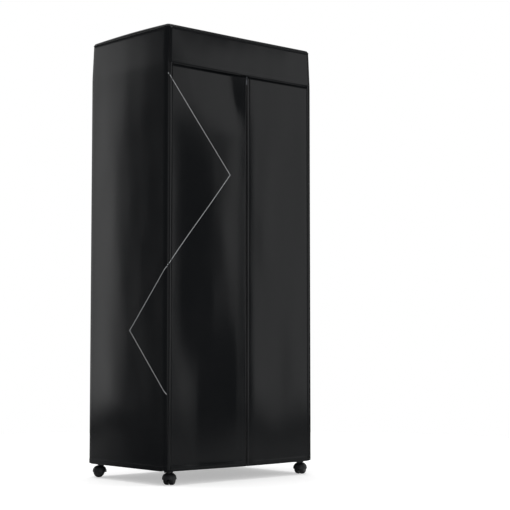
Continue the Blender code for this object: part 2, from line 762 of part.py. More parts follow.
def make_door(name, hinge, edge, material):
    """One cloth door from its seam at a front strip to the zip, with the main folds of the cloth."""
    outward = math.copysign(1, hinge)
    seam = hinge - outward * 2 * SEAT_GAP
    top = DOOR_TOP - SEAT_GAP

    def place(across, up):
        x = seam + (edge - seam) * across
        low = COVER_BOTTOM - HEM_SAG * math.sin(math.pi * (x + HALF_WIDTH) / COVER_WIDTH)
        z = low + (top - low) * up
        share = across if hinge < 0 else 1 - across
        depth = fold_depth(share, up, DOOR_FOLD_SHARES)
        if hinge > 0:
            depth /= 2
        return Vector((x, FRONT_PLANE + CLOTH_THICKNESS / 2 - depth, z))

    door = grid_sheet(name, DOOR_COLUMNS, DOOR_ROWS, place, CLOTH_THICKNESS, material)
    axis = (hinge - outward * SEAT_GAP, FRONT_PLANE - DOOR_AXIS_PROUD, 0)
    move_origin(door, axis)
    return door


def make_zip_slider(material):
    """Front and back plates joined through the zip's gap, with a loop that carries the pull."""
    top = DOOR_TOP - 2 * SEAT_GAP - SLIDER_PLATE
    low = top - SLIDER_HEIGHT
    right = ZIP_OFFSET + ZIP_GAP / 2 - SEAT_GAP
    left = right - SLIDER_WIDTH
    front = FRONT_PLANE - SEAT_GAP
    back = FRONT_PLANE + CLOTH_THICKNESS + SEAT_GAP
    bm = bmesh.new()
    box_into(bm, (left, front - SLIDER_PLATE, low), (right, front, top))
    slider = new_object("zip_slider", mesh_from(bm, "zip_slider"), material)
    bridge = bmesh.new()
    box_into(
        bridge,
        (ZIP_OFFSET - SLIDER_BRIDGE / 2, front - SLIDER_PLATE / 2, low + SLIDER_PLATE),
        (ZIP_OFFSET + SLIDER_BRIDGE / 2, back + SLIDER_PLATE / 2, top - SLIDER_PLATE),
    )
    boolean(slider, helper_from(bridge, "slider_bridge"), "UNION")
    rear = bmesh.new()
    box_into(rear, (left, back, low), (right, back + SLIDER_PLATE, top))
    boolean(slider, helper_from(rear, "slider_rear"), "UNION")
    middle = (left + right) / 2
    pin = pull_pin(top)
    face = front - SLIDER_PLATE
    loop = bmesh.new()
    half = PULL_WIDTH / 2 - 2 * PULL_EAR / 2 - SEAT_GAP
    tunnel_y = face - 2 * SEAT_GAP - PULL_THICKNESS
    tunnel_z = PULL_EAR / 2 + SEAT_GAP
    low_corner = (middle - half, tunnel_y - PULL_EAR, pin - tunnel_z - PULL_EAR)
    box_into(loop, low_corner, (middle + half, face + SLIDER_PLATE / 2, pin + tunnel_z + PULL_EAR))
    boolean(slider, helper_from(loop, "slider_loop"), "UNION")
    tunnel = bmesh.new()
    box_into(tunnel, (left - OVERRUN, tunnel_y, pin - tunnel_z), (right + OVERRUN, face, pin + tunnel_z))
    boolean(slider, helper_from(tunnel, "slider_tunnel"), "DIFFERENCE")
    return settled(slider), middle, face, top


def pull_pin(top):
    """Height of the loop that holds the pull, between the ends of the slider."""
    return top - SLIDER_HEIGHT / 2 + PULL_EAR


def make_zip_pull(middle, face, top, material):
    """A flat tab with a window at its upper end, whose cross-piece passes through the slider's loop."""
    pin_z = pull_pin(top)
    y = face - SEAT_GAP - PULL_THICKNESS / 2
    bar = PULL_EAR
    high = pin_z + bar / 2
    half = PULL_WIDTH / 2
    shoulder = high - bar - SLIDER_HEIGHT / 2
    outline = [
        (middle - half, high),
        (middle - half, high - PULL_LENGTH),
        (middle + half, high - PULL_LENGTH),
        (middle + half, high),
    ]
    window = [
        (middle - half + bar, high - bar),
        (middle + half - bar, high - bar),
        (middle + half - bar, shoulder),
        (middle - half + bar, shoulder),
    ]
    place = Matrix.Translation((0, y, 0)) @ UPRIGHT_ALONG_X
    pull = plate("zip_pull", [outline, window], PULL_THICKNESS, place, material)
    move_origin(pull, (middle, y, pin_z))
    return pull


def at_heater(made):
    """Lifts a heater piece onto the bottom rails, with the helpers that it is cut and joined with."""
    made.location = (0, 0, HEATER_FLOOR)
    for modifier in made.modifiers:
        if modifier.type == "BOOLEAN":
            at_heater(modifier.object)
    return made


def make_heater_base(material):
    """Dished base with radial intake slots, and four clips that straddle the two bottom rails."""
    rim = BASE_RIM_HEIGHT
    step = HEATER_WALL + SEAT_GAP
    profile = [
        (0, BASE_PLATE),
        (HEATER_RADIUS - 2 * HEATER_WALL, BASE_PLATE),
        (HEATER_RADIUS - step - HEATER_WALL, rim + HEATER_WALL),
        (HEATER_RADIUS - step, rim + HEATER_WALL),
        (HEATER_RADIUS - step, rim),
        (HEATER_RADIUS, rim),
        (HEATER_RADIUS, BASE_EDGE_RADIUS),
        (HEATER_RADIUS - BASE_EDGE_RADIUS, 0),
        (0, 0),
    ]
    base = turned("heater_base", profile, HEATER_STEPS, material)
    clips = bmesh.new()
    rail = RAIL_DIAMETER / 2
    rail_z = -SEAT_GAP - rail
    grip = rail + SEAT_GAP
    for y in (-BOTTOM_RAIL_SPACING / 2, BOTTOM_RAIL_SPACING / 2):
        for x in (-CLIP_SPACING / 2, CLIP_SPACING / 2):
            low = (x - CLIP_WIDTH / 2, y - grip - CLIP_WALL, rail_z - CLIP_DROP)
            high = (x + CLIP_WIDTH / 2, y + grip + CLIP_WALL, BASE_PLATE / 2)
            box_into(clips, low, high)
    cutter = bmesh.new()
    for y in (-BOTTOM_RAIL_SPACING / 2, BOTTOM_RAIL_SPACING / 2):
        reach = CLIP_SPACING / 2 + CLIP_WIDTH
        below = rail_z - CLIP_DROP - OVERRUN
        low = (-reach, y - grip, below)
        box_into(cutter, low, (reach, y + grip, -SEAT_GAP / 2))
    clip_blocks = helper_from(clips, "heater_clip_blocks")
    boolean(clip_blocks, helper_from(cutter, "heater_clip_channels"), "DIFFERENCE")
    boolean(base, clip_blocks, "UNION")
    slots = bmesh.new()
    for i in range(INTAKE_SLOTS):
        turn = Matrix.Rotation(2 * math.pi * (i + 0.5) / INTAKE_SLOTS, 4, "Z")
        size = Matrix.Diagonal((INTAKE_SLOT_LENGTH, INTAKE_SLOT_WIDTH, 2 * BASE_PLATE + OVERRUN, 1))
        out = Matrix.Translation((INTAKE_SLOT_RADIUS, 0, BASE_PLATE / 2))
        bmesh.ops.create_cube(slots, size=1, matrix=turn @ out @ size)
    boolean(base, helper_from(slots, "heater_intake_slots"), "DIFFERENCE")
    return at_heater(base)


def make_heater_housing(material):
    """Turned shell: upright wall, sloping shoulder, a flat crown round the outlet, and a bridge for the lamp."""
    low = BASE_RIM_HEIGHT + SEAT_GAP
    wall = HEATER_WALL
    shoulder = SHOULDER_DIAMETER / 2
    outlet = OUTLET_DIAMETER / 2
    mid_radius = (HEATER_RADIUS + shoulder) / 2
    bulge = HEATER_WALL
    mid_height = (SHOULDER_HEIGHT + HOUSING_HEIGHT) / 2
    outer = [
        (outlet, HOUSING_HEIGHT),
        (shoulder - bulge, HOUSING_HEIGHT),
        (shoulder + bulge, HOUSING_HEIGHT - bulge),
        (mid_radius + bulge, mid_height + bulge),
        (HEATER_RADIUS - bulge / 2, SHOULDER_HEIGHT + bulge),
        (HEATER_RADIUS, SHOULDER_HEIGHT - bulge),
        (HEATER_RADIUS, low),
    ]
    inner = [
        (HEATER_RADIUS - wall, low),
        (HEATER_RADIUS - wall, SHOULDER_HEIGHT - bulge),
        (mid_radius, mid_height),
        (shoulder - bulge, HOUSING_HEIGHT - wall - bulge),
        (shoulder - 2 * bulge, HOUSING_HEIGHT - wall),
        (outlet, HOUSING_HEIGHT - wall),
    ]
    housing = turned("heater_housing", outer + inner, HEATER_STEPS, material, closed=True)
    bridge = bmesh.new()
    reach = outlet + wall
    half = LAMP_BRIDGE_WIDTH / 2
    under = HOUSING_HEIGHT - wall * 2
    box_into(bridge, (-reach, -half, under), (reach, half, HOUSING_HEIGHT - wall / 2))
    boolean(housing, helper_from(bridge, "lamp_bridge"), "UNION")
    return at_heater(housing)


def make_outlet_cage(material):
    """Waisted lattice of upright bars and hoops: a coarse turned net given its bars by Wireframe."""
    low = HOUSING_HEIGHT + SEAT_GAP + CAGE_BAR / 2
    high = low + CAGE_HEIGHT - CAGE_BAR
    foot, waist, head = CAGE_FOOT_DIAMETER / 2, CAGE_WAIST_DIAMETER / 2, CAGE_HEAD_DIAMETER / 2
    profile = []
    for i in range(CAGE_ROWS + 1):
        up = 1 - i / CAGE_ROWS
        radius = foot * (1 - up) ** 2 + 2 * (2 * waist - (foot + head) / 2) * up * (1 - up) + head * up**2
        profile.append((radius, low + (high - low) * up))
    cage = turned("outlet_cage", profile, CAGE_COLUMNS, material)
    add_modifier(cage, "WIREFRAME", thickness=CAGE_BAR, use_boundary=True, use_even_offset=False)
    return at_heater(cage)


def make_deflector_disc(material):
    """Thin round plate with a low hollow dome, lying on the cage."""
    low = HOUSING_HEIGHT + 2 * SEAT_GAP + CAGE_HEIGHT
    brim = DISC_DIAMETER / 2
    dome = DOME_DIAMETER / 2
    top = low + DISC_THICKNESS
    rows = 3
    crown = [
        (dome * math.sin(math.pi / 2 * i / rows), top + DOME_HEIGHT * math.cos(math.pi / 2 * i / rows) ** 2)
        for i in range(rows + 1)
    ]
    hollow = [(radius * (1 - DISC_THICKNESS / dome), height - DISC_THICKNESS) for radius, height in crown]
    profile = crown + [(brim, top), (brim, low)] + hollow[::-1]
    return at_heater(turned("deflector_disc", profile, HEATER_STEPS, material))


def panel_middle():
    """Height of the arch's centre on the control panel."""
    return BASE_RIM_HEIGHT + SEAT_GAP + PANEL_HEIGHT - PANEL_WIDTH / 2


def button_places():
    z = BASE_RIM_HEIGHT + SEAT_GAP + PANEL_HEIGHT - BUTTON_BELOW_ARCH_TOP
    return ((-BUTTON_SPACING / 2, z), (BUTTON_SPACING / 2, z))


def make_control_panel(material):
    """Arch-topped raised panel that follows the round housing, with a well for each button."""
    half = PANEL_WIDTH / 2
    outline = [(-half, BASE_RIM_HEIGHT + SEAT_GAP), (half, BASE_RIM_HEIGHT + SEAT_GAP)]
    outline += arc((0, panel_middle()), half, half, 0, math.pi, 12)
    depth = HEATER_RADIUS - PANEL_WIDTH / 2
    front = HEATER_RADIUS + PANEL_THICKNESS
    place = Matrix.Translation((0, -(depth + front + OVERRUN) / 2, 0)) @ UPRIGHT_ALONG_X
    panel = plate("control_panel", [outline], front + OVERRUN - depth, place, material)
    low, high = -OVERRUN, SHOULDER_HEIGHT
    outer = [(0, high), (front, high), (front, low), (0, low)]
    boolean(panel, turned("panel_front", outer, 2 * HEATER_STEPS, helper=True), "INTERSECT")
    inside = HEATER_RADIUS + SEAT_GAP
    inner = [(0, high + OVERRUN), (inside, high + OVERRUN), (inside, low - OVERRUN), (0, low - OVERRUN)]
    boolean(panel, turned("panel_back", inner, HEATER_STEPS, helper=True), "DIFFERENCE")
    wells = bmesh.new()
    for x, z in button_places():
        well = BUTTON_DIAMETER / 2 + SEAT_GAP
        cylinder_into(wells, (x, -depth, z), (x, -front - OVERRUN, z), well, RAIL_STEPS)
    boolean(panel, helper_from(wells, "panel_wells"), "DIFFERENCE")
    return at_heater(panel)


def make_buttons(material):
    """Two push buttons that travel straight back into their wells."""
    for name, (x, z) in zip(("power_button", "timer_button"), button_places()):
        radius = BUTTON_DIAMETER / 2
        edge = BUTTON_PROUD / 2
        profile = [
            (0, BUTTON_LENGTH),
            (radius - edge, BUTTON_LENGTH),
            (radius, BUTTON_LENGTH - edge),
            (radius, 0),
            (0, 0),
        ]
        button = turned(name, profile, RAIL_STEPS, material)
        face = math.sqrt((HEATER_RADIUS + PANEL_THICKNESS) ** 2 - x * x)
        button.rotation_euler = (math.pi / 2, 0, 0)
        button.location = (x, -face - BUTTON_PROUD + BUTTON_LENGTH, HEATER_FLOOR + z)


def make_motor(material):
    """Fan motor on its mounting flange, with its shaft up through the fan's hub."""
    low = BASE_PLATE + SEAT_GAP
    radius = MOTOR_DIAMETER / 2
    shaft = SHAFT_DIAMETER / 2
    edge = MOTOR_FLANGE / 2
    top = low + MOTOR_HEIGHT
    profile = [
        (0, top + SHAFT_LENGTH),
        (shaft, top + SHAFT_LENGTH),
        (shaft, top + edge),
        (shaft * 3, top + edge),
        (shaft * 3, top),
        (radius - edge, top),
        (radius, top - edge),
        (radius, low + MOTOR_FLANGE),
        (radius + MOTOR_FLANGE, low + MOTOR_FLANGE),
        (radius + MOTOR_FLANGE, low),
        (0, low),
    ]
    return at_heater(turned("fan_motor", profile, 20, material))


def fan_floor():
    return BASE_PLATE + SEAT_GAP + MOTOR_HEIGHT + FAN_LIFT


def make_impeller(material):
    """Axial fan: a hub on the motor shaft and pitched blades, joined into one moulding."""
    low = fan_floor()
    hub = FAN_HUB_DIAMETER / 2
    bore = SHAFT_DIAMETER / 2 + SEAT_GAP
    edge = FAN_BLADE_THICKNESS
    profile = [
        (bore, low + FAN_HEIGHT),
        (hub - edge, low + FAN_HEIGHT),
        (hub, low + FAN_HEIGHT - edge),
        (hub, low),
        (bore, low),
    ]
    fan = turned("fan_impeller", profile, 20, material, closed=True)
    reach = (FAN_DIAMETER - FAN_HUB_DIAMETER) / 2
    root = hub - FAN_BLADE_THICKNESS
    chord = FAN_HEIGHT / math.sin(FAN_BLADE_ANGLE) * math.cos(FAN_BLADE_ANGLE)
    for i in range(FAN_BLADES):
        blade = bmesh.new()
        bmesh.ops.create_cube(blade, size=1)
        for vert in blade.verts:
            outer = vert.co.x > 0
            length = chord * (1.0 if outer else FAN_HUB_DIAMETER / MOTOR_DIAMETER)
            x = root + reach if outer else root
            vert.co = Vector((x, vert.co.y * length, vert.co.z * FAN_BLADE_THICKNESS))
            twist = FAN_BLADE_ANGLE * (FAN_HUB_DIAMETER / MOTOR_DIAMETER if outer else 1.0)
            vert.co = Matrix.Rotation(twist, 3, "X") @ vert.co
        turn = Matrix.Rotation(2 * math.pi * i / FAN_BLADES, 4, "Z")
        bmesh.ops.transform(
            blade, matrix=turn @ Matrix.Translation((0, 0, low + FAN_HEIGHT / 2)), verts=blade.verts
        )
        boolean(fan, helper_from(blade, f"fan_blade_{i}"), "UNION")
    return at_heater(fan)


def make_shroud(material):
    """Ring round the fan on legs, with an inward flange on top that carries the heating element."""
    inner = FAN_DIAMETER / 2 + FAN_CLEARANCE
    outer = inner + SHROUD_WALL
    low = fan_floor() - SHROUD_WALL
    high = low + SHROUD_HEIGHT
    flange = SHROUD_FLANGE_DIAMETER / 2
    profile = [
        (flange, high),
        (outer, high),
        (outer, low),
        (inner, low),
        (inner, high - SHROUD_WALL),
        (flange, high - SHROUD_WALL),
    ]
    shroud = turned("fan_shroud", profile, HEATER_STEPS, material, closed=True)
    legs = bmesh.new()
    for i in range(4):
        turn = Matrix.Rotation(math.pi / 2 * (i + 0.5), 4, "Z")
        foot = BASE_PLATE + SEAT_GAP
        head = low + SHROUD_LEG
        size = Matrix.Diagonal((SHROUD_LEG / 2, SHROUD_LEG, head - foot, 1))
        out = Matrix.Translation((outer + SHROUD_LEG / 4 - SHROUD_WALL / 2, 0, (foot + head) / 2))
        bmesh.ops.create_cube(legs, size=1, matrix=turn @ out @ size)
    boolean(shroud, helper_from(legs, "shroud_legs"), "UNION")
    return at_heater(shroud)


def shroud_top():
    return fan_floor() - SHROUD_WALL + SHROUD_HEIGHT


def make_heating_element(material):
    """Ceramic heating block: a frame round two packs of upright fins, with the air way between them."""
    half_x, half_y = ELEMENT_LENGTH / 2, ELEMENT_DEPTH / 2
    outline = [(-half_x, -half_y), (half_x, -half_y), (half_x, half_y), (-half_x, half_y)]
    loops = [outline]
    fins = 8
    pitch = (ELEMENT_LENGTH - 2 * ELEMENT_WALL + ELEMENT_FIN) / fins
    for i in range(fins):
        left = -half_x + ELEMENT_WALL + i * pitch
        right = left + pitch - ELEMENT_FIN
        for low, high in ((-half_y + ELEMENT_WALL, -ELEMENT_WALL / 2), (ELEMENT_WALL / 2, half_y - ELEMENT_WALL)):
            loops.append([(left, low), (right, low), (right, high), (left, high)])
    place = Matrix.Translation((0, 0, shroud_top() + SEAT_GAP + ELEMENT_HEIGHT / 2))
    return at_heater(plate("heating_element", loops, ELEMENT_HEIGHT, place, material))


def make_control_board(material):
    """Circuit board that stands behind the panel, with its relay and capacitor."""
    y = -(HEATER_RADIUS - HEATER_WALL - BOARD_SETBACK)
    low = BASE_PLATE + SEAT_GAP
    bm = bmesh.new()
    half = BOARD_LENGTH / 2
    box_into(bm, (-half, y, low), (half, y + BOARD_THICKNESS, low + BOARD_HEIGHT))
    board = new_object("control_board", mesh_from(bm, "control_board"), material)
    parts = bmesh.new()
    near = y + BOARD_THICKNESS / 2
    relay_low = low + BOARD_HEIGHT / 4
    box_into(parts, (-half / 2 - RELAY_SIZE, near, relay_low), (-half / 2, y + RELAY_DEPTH, relay_low + RELAY_SIZE))
    capacitor = (half / 2, near, low + BOARD_HEIGHT / 2)
    cylinder_into(parts, capacitor, (half / 2, y + RELAY_DEPTH, capacitor[2]), RELAY_SIZE / 3, RAIL_STEPS)
    boolean(board, helper_from(parts, "board_parts"), "UNION")
    return at_heater(board)


def make_lamp(material):
    """U-shaped tube lamp that stands in the cage on the housing's bridge."""
    foot = HOUSING_HEIGHT - HEATER_WALL / 2 + SEAT_GAP
    bm = bmesh.new()
    half, width = LAMP_BASE_LENGTH / 2, LAMP_BRIDGE_WIDTH / 2
    box_into(bm, (-half, -width, foot), (half, width, foot + LAMP_BASE_HEIGHT))
    lamp = new_object("uv_lamp", mesh_from(bm, "uv_lamp"), material)
    leg = LAMP_LEG_SPACING / 2
    low = foot + LAMP_BASE_HEIGHT / 2
    shoulder = foot + LAMP_HEIGHT - leg - LAMP_TUBE_DIAMETER / 2
    curve = bpy.data.curves.new("lamp_tube", "CURVE")
    curve.dimensions = "3D"
    curve.bevel_depth = LAMP_TUBE_DIAMETER / 2
    curve.bevel_resolution = 2
    curve.use_fill_caps = True
    route = [(leg, low)] + arc((0, shoulder), leg, leg, 0, math.pi, 6) + [(-leg, low)]
    spline = curve.splines.new("POLY")
    spline.points.add(len(route) - 1)
    for point, (x, z) in zip(spline.points, route):
        point.co = (x, 0, z, 1)
    drawn = bpy.data.objects.new("lamp_tube", curve)
    bpy.data.collections[HELPERS].objects.link(drawn)
    mesh = evaluated_mesh(drawn, "lamp_tube")
    bpy.data.objects.remove(drawn, do_unlink=True)
    boolean(lamp, new_object("lamp_tube", mesh, helper=True), "UNION")
    return at_heater(lamp)


def make_gland(material):
    """Cord gland at the back of the housing, with its bore open."""
    outer, bore = GLAND_DIAMETER / 2, GLAND_BORE / 2
    tip = outer * 2 / 3
    flange = GLAND_LENGTH / 5
    profile = [
        (bore, GLAND_LENGTH),
        (tip, GLAND_LENGTH),
        (tip + flange / 3, flange),
        (outer, flange),
        (outer, 0),
        (bore, 0),
    ]
    gland = turned("cord_gland", profile, 16, material, closed=True)
    gland.rotation_euler = (-math.pi / 2, 0, 0)
    gland.location = (0, HEATER_RADIUS + SEAT_GAP, HEATER_FLOOR + GLAND_HEIGHT)
    return gland


def main():
    clear_scene()
    new_collection(PART)
    new_collection(HELPERS)
    bpy.data.collections[HELPERS].hide_render = True
    chrome = new_material("polished_chrome", (0.78, 0.78, 0.79), 0.16, 1.0)
    black_plastic = new_material("black_nylon", (0.035, 0.035, 0.037), 0.42)
    wheel = new_material("black_wheel_plastic", (0.03, 0.03, 0.031), 0.5)
    cloth = new_material("black_coated_cloth", (0.022, 0.022, 0.023), 0.45)
    zinc = new_material("black_zinc", (0.03, 0.03, 0.03), 0.35, 1.0)
    white = new_material("white_plastic", (0.82, 0.82, 0.81), 0.35)
    gloss_black = new_material("gloss_black_plastic", (0.02, 0.02, 0.021), 0.25)
    pale = new_material("pale_button_plastic", (0.75, 0.76, 0.78), 0.3)
    steel = new_material("motor_steel", (0.5, 0.5, 0.52), 0.4, 1.0)
    aluminium = new_material("aluminium_fins", (0.7, 0.71, 0.73), 0.4, 1.0)
    board = new_material("green_board", (0.03, 0.16, 0.07), 0.5)
    quartz = new_material("lamp_glass", (0.78, 0.80, 0.86), 0.1)
    make_posts(chrome)
    make_rails(chrome)
    make_side_bars(black_plastic)
    make_casters(black_plastic, wheel)
    make_cover_shell(cloth)
    make_pelmet(cloth)
    make_door("door_left", -HINGE_X, ZIP_OFFSET - ZIP_GAP / 2, cloth)
    make_door("door_right", HINGE_X, ZIP_OFFSET + ZIP_GAP / 2, cloth)
    _, middle, face, top = make_zip_slider(zinc)
    make_zip_pull(middle, face, top, zinc)
    make_heater_base(black_plastic)
    make_heater_housing(white)
    make_outlet_cage(black_plastic)
    make_deflector_disc(black_plastic)
    make_control_panel(gloss_black)
    make_buttons(pale)
    make_motor(steel)
    make_impeller(black_plastic)
    make_shroud(black_plastic)
    make_heating_element(aluminium)
    make_control_board(board)
    make_lamp(quartz)
    make_gland(black_plastic)


main()
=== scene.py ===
"""Portable clothes dryer: a hanging cloth cover with two zipped doors over a tube frame on casters, with a
fan heater on its lowest rails. Metres, +Z up, front towards -Y, origin on the floor under the middle."""

import math
from functools import partial

import bmesh
import bpy
from mathutils import Matrix, Vector, noise


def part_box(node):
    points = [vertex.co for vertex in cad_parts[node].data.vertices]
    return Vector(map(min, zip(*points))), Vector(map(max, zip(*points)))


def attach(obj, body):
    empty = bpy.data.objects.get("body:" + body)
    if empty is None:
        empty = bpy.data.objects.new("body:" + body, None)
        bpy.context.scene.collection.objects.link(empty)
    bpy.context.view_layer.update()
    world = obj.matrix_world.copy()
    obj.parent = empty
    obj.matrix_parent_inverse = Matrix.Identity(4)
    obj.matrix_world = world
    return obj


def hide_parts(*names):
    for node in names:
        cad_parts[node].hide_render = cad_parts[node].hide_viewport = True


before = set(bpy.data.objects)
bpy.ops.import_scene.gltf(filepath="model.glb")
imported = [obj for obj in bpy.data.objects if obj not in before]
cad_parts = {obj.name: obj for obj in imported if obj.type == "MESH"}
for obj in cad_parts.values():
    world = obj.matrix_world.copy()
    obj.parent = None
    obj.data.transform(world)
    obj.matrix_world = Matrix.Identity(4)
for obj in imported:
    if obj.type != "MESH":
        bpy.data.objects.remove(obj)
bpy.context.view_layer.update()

bl_info = {
    "name": "Portable Clothes Dryer",
    "version": (1, 0, 0),
    "blender": (4, 5, 0),
    "location": "View3D > Sidebar > Dryer",
    "description": "Builds the cloth cover, the tube frame, the casters and the heater of a clothes dryer",
    "category": "Add Mesh",
}

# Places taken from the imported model.
HALF_WIDTH = (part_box("cover_shell")[1][0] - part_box("cover_shell")[0][0]) / 2
LEFT_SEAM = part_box("door_left")[0][0]
RIGHT_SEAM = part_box("door_right")[1][0]
HOUSING_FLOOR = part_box("heater_housing")[0][2]

# Shape of the cover, as it is in the model.
CORNER_RADIUS = 0.015
ROOF_RADIUS = 0.010
ROOF_CROWN = 0.004
ROOF_DRAW_IN = 0.005
ROOF_TOP = 1.649
SHOULDER = ROOF_TOP - ROOF_RADIUS
FRONT_FACE = -0.234
BACK_FACE = 0.240
MIDDLE_Y = (FRONT_FACE + BACK_FACE) / 2
STRIP_EDGE = 0.3355
DOOR_TOP = 1.5032
HEM_LINE = 0.0545
HEM_SAG = 0.002
PELMET_LOW = 1.508
PELMET_SAG = 0.003
PELMET_REACH = 0.3485
PELMET_STANDOFF = 0.0044
ZIP_MIDDLE = 0.0195
LEFT_DOOR_EDGE = 0.017
RIGHT_DOOR_EDGE = 0.022

# What the cloth adds to that shape: relief of its doubled hem, bulge of its sides and hollows of its back.
HEM_WIDTH = 0.018
HEM_RISE = 0.0006
HEM_STITCHES = HEM_LINE + 0.0165
HEM_END = 0.15
CORNER_DROP = 0.0035
SIDE_BULGE = 0.0024
BACK_HOLLOW = 0.004
ROOF_SAG = 0.006

# Depths of the slight wrinkles.
LEFT_WRINKLES = 0.0004
RIGHT_WRINKLES = 0.0010
BACK_WRINKLES = 0.0022
ROOF_WRINKLES = 0.0008
DOOR_WRINKLES = 0.0005
BAND_WRINKLES = 0.0011

# A normal that points one way by more than this is on a flat side, and not on a rounded corner.
FLAT_SIDE = 0.99

# Rows of the cloth's net are this close up to this height.
CLOSE_STEP = 0.0045
CLOSE_ROWS = HEM_LINE + 0.022

# Rows of stitches: how far inside an edge that is sewn, and how far from a door's edge along its zip.
STITCH_INSET = 0.003
ZIP_STITCHES = (0.005, 0.015)

# The zip, out from its middle and back from the cloth's face: edges and faces of a tape, place of the teeth.
TAPE_EDGES = (0.00015, 0.013)
TAPE_FACES = (0.0014, 0.0020)
TEETH_OUT = 0.0011
TEETH_BACK = 0.0006
TOOTH_SIZE = (0.0018, 0.0034, 0.0046)

# Height of the doors' cloth at distances from the zip: the left one, and the right one with its band
# and valley.
LEFT_ZIP_EDGE = ((0.0, -0.0003), (0.0015, 0.0003), (0.0350, 0.0))
RIGHT_ZIP_EDGE = (
    (0.0, 0.0003), (0.0008, 0.0008), (0.0018, 0.0009), (0.0100, 0.0008), (0.0110, -0.0013), (0.0130, -0.0014),
    (0.0140, -0.0005), (0.0280, 0.0),
)

# The printed line: its tip and its slope on the front and on the side. Places are those on the flat cloth,
# whose front left corner is at 0.
FRONT_TIP = (0.2815, 1.123)
FRONT_SLOPE = -0.845
SIDE_TIP = (-0.2216, 0.548)
SIDE_SLOPE = 0.935
STRIPE_CORNER = -0.010
STRIPE_BLUR = 0.0003

# From the camera to the backdrop, level, and how far a direction turns that way where the backdrop begins and
# where it is full.
BACKDROP_SIDE = (0.638, 0.770, 0.0)
BACKDROP_EDGES = (0.30, 0.75)

# Painted shade on the floor left of the dryer, which reflected rays alone see: where it ends towards the
# dryer, and its slanting edge, by the direction across it, its place that way and half its softness.
FLOOR_SHADE_SIDE = -0.30
FLOOR_SHADE_ACROSS = (0.807, 0.590, 0.0)
FLOOR_SHADE_EDGE = -0.213
FLOOR_SHADE_SOFTNESS = 0.12

# Sizes of the heater, as they are in the model. Heights are above the underside of its base.
CLEARANCE = 0.0003
HEATER_RADIUS = 0.109
BASE_RIM = 0.0095
BASE_PLATE = 0.003
HOUSING_FOOT = BASE_RIM + CLEARANCE
HOUSING_WALL = 0.0024
HOUSING_TOP = 0.1163
HEATER_FLOOR = HOUSING_FLOOR - HOUSING_FOOT
RAIL_RADIUS = 0.0075
CAGE_LOW = HOUSING_TOP + 0.0014
CAGE_HIGH = HOUSING_TOP + 0.0492
PANEL_HALF = 0.031
PANEL_MIDDLE = HOUSING_FOOT + 0.023
PANEL_BACK = HEATER_RADIUS + CLEARANCE
PANEL_FRONT = HEATER_RADIUS + 0.0055
BUTTON_HEIGHT = HOUSING_FOOT + 0.030
BUTTON_SIDE = 0.0075
BUTTON_RADIUS = 0.00475
WELL_RADIUS = 0.00505
MOTOR_FLOOR = BASE_PLATE + CLEARANCE
SHROUD_LOW = 0.0293
SHROUD_HIGH = SHROUD_LOW + 0.030
SHROUD_WALL = 0.002
ELEMENT_LOW = SHROUD_HIGH + CLEARANCE
ELEMENT_HIGH = ELEMENT_LOW + 0.018
LAMP_LOW = 0.1154
LAMP_FOOT_TOP = 0.1217
LAMP_FOOT_HALF = (0.018, 0.008)
LAMP_BEND = 0.010
LAMP_RADIUS = 0.005
LAMP_HEIGHT = 0.036
GLAND_HEIGHT = 0.024

# Sizes of the casters, as they are in the model.
CORNERS = ("front_left", "front_right", "back_left", "back_right")
CASTER_SWIVEL = {"front_left": -56, "front_right": -66, "back_left": 48, "back_right": 20}
CASTER_TRAIL = 0.011
AXLE_HEIGHT = 0.020
AXLE_RADIUS = 0.007
HOOD_SHIFT = 0.002
HOOD_REACH = (0.0253, 0.026, 0.024)
HOOD_SQUARENESS = 2.5
WHEEL_SQUARENESS = 4.2
WEB_HALF = 0.0025
POST_X = 0.320
POST_Y = 0.2015


# Small tools.


def linear(code):
    """An sRGB hex colour as the linear colour that a shader takes."""
    channels = [int(code[i : i + 2], 16) / 255 for i in (1, 3, 5)]
    return tuple(c / 12.92 if c <= 0.04045 else ((c + 0.055) / 1.055) ** 2.4 for c in channels) + (1.0,)


def add_node(tree, kind, links=None, **settings):
    """Adds a node. links gives its inputs, each by name or number, a value or another node's output."""
    node = tree.nodes.new(kind)
    for name, value in settings.items():
        setattr(node, name, value)
    for key, value in (links or {}).items():
        if isinstance(value, bpy.types.NodeSocket):
            tree.links.new(value, node.inputs[key])
        else:
            node.inputs[key].default_value = value
    return node


def clamp01(value):
    return min(1.0, max(0.0, value))


def ease(value, low, high):
    """Goes smoothly from 0 at low to 1 at high."""
    share = clamp01((value - low) / (high - low))
    return share * share * (3 - 2 * share)


def hump(value, centre, left, right):
    """A smooth hump: 1 at the centre, 0 past the left reach on one side and the right reach on the other."""
    reach = (value - centre) / (right if value > centre else left)
    return math.cos(min(1.0, abs(reach)) * math.pi / 2) ** 2


def crease(value, centre, left, right, rounding=0.14):
    """A fold with straight flanks: 1 at the centre, then evenly down to 0 at its reach on either side."""
    reach = (value - centre) / (right if value > centre else left)
    ends = math.hypot(1, rounding)
    return max(0.0, ends - math.hypot(reach, rounding)) / (ends - rounding)


def arch(share):
    """0 at either end, 0 and 1, and 1 halfway between."""
    return math.sin(math.pi * clamp01(share))


def from_table(table, value):
    """Reads a table of (place, height) between its rows, and gives its last height beyond them."""
    for (low, first), (high, last) in zip(table, table[1:]):
        if value < high:
            return first + (last - first) * clamp01((value - low) / (high - low))
    return table[-1][1]


def spread(low, high, step):
    """Even places from low to high, about one step apart."""
    count = max(1, round((high - low) / step))
    return [low + (high - low) * i / count for i in range(count + 1)]


def around(radius, turn, height=0.0):
    """The point at this distance from the Z axis, turned this far about it, at this height."""
    return radius * math.cos(turn), radius * math.sin(turn), height


def full_turn(steps):
    return [2 * math.pi * k / steps for k in range(steps)]


def linked(name, data):
    """A new object in the scene."""
    made = bpy.data.objects.new(name, data)
    bpy.context.scene.collection.objects.link(made)
    return made


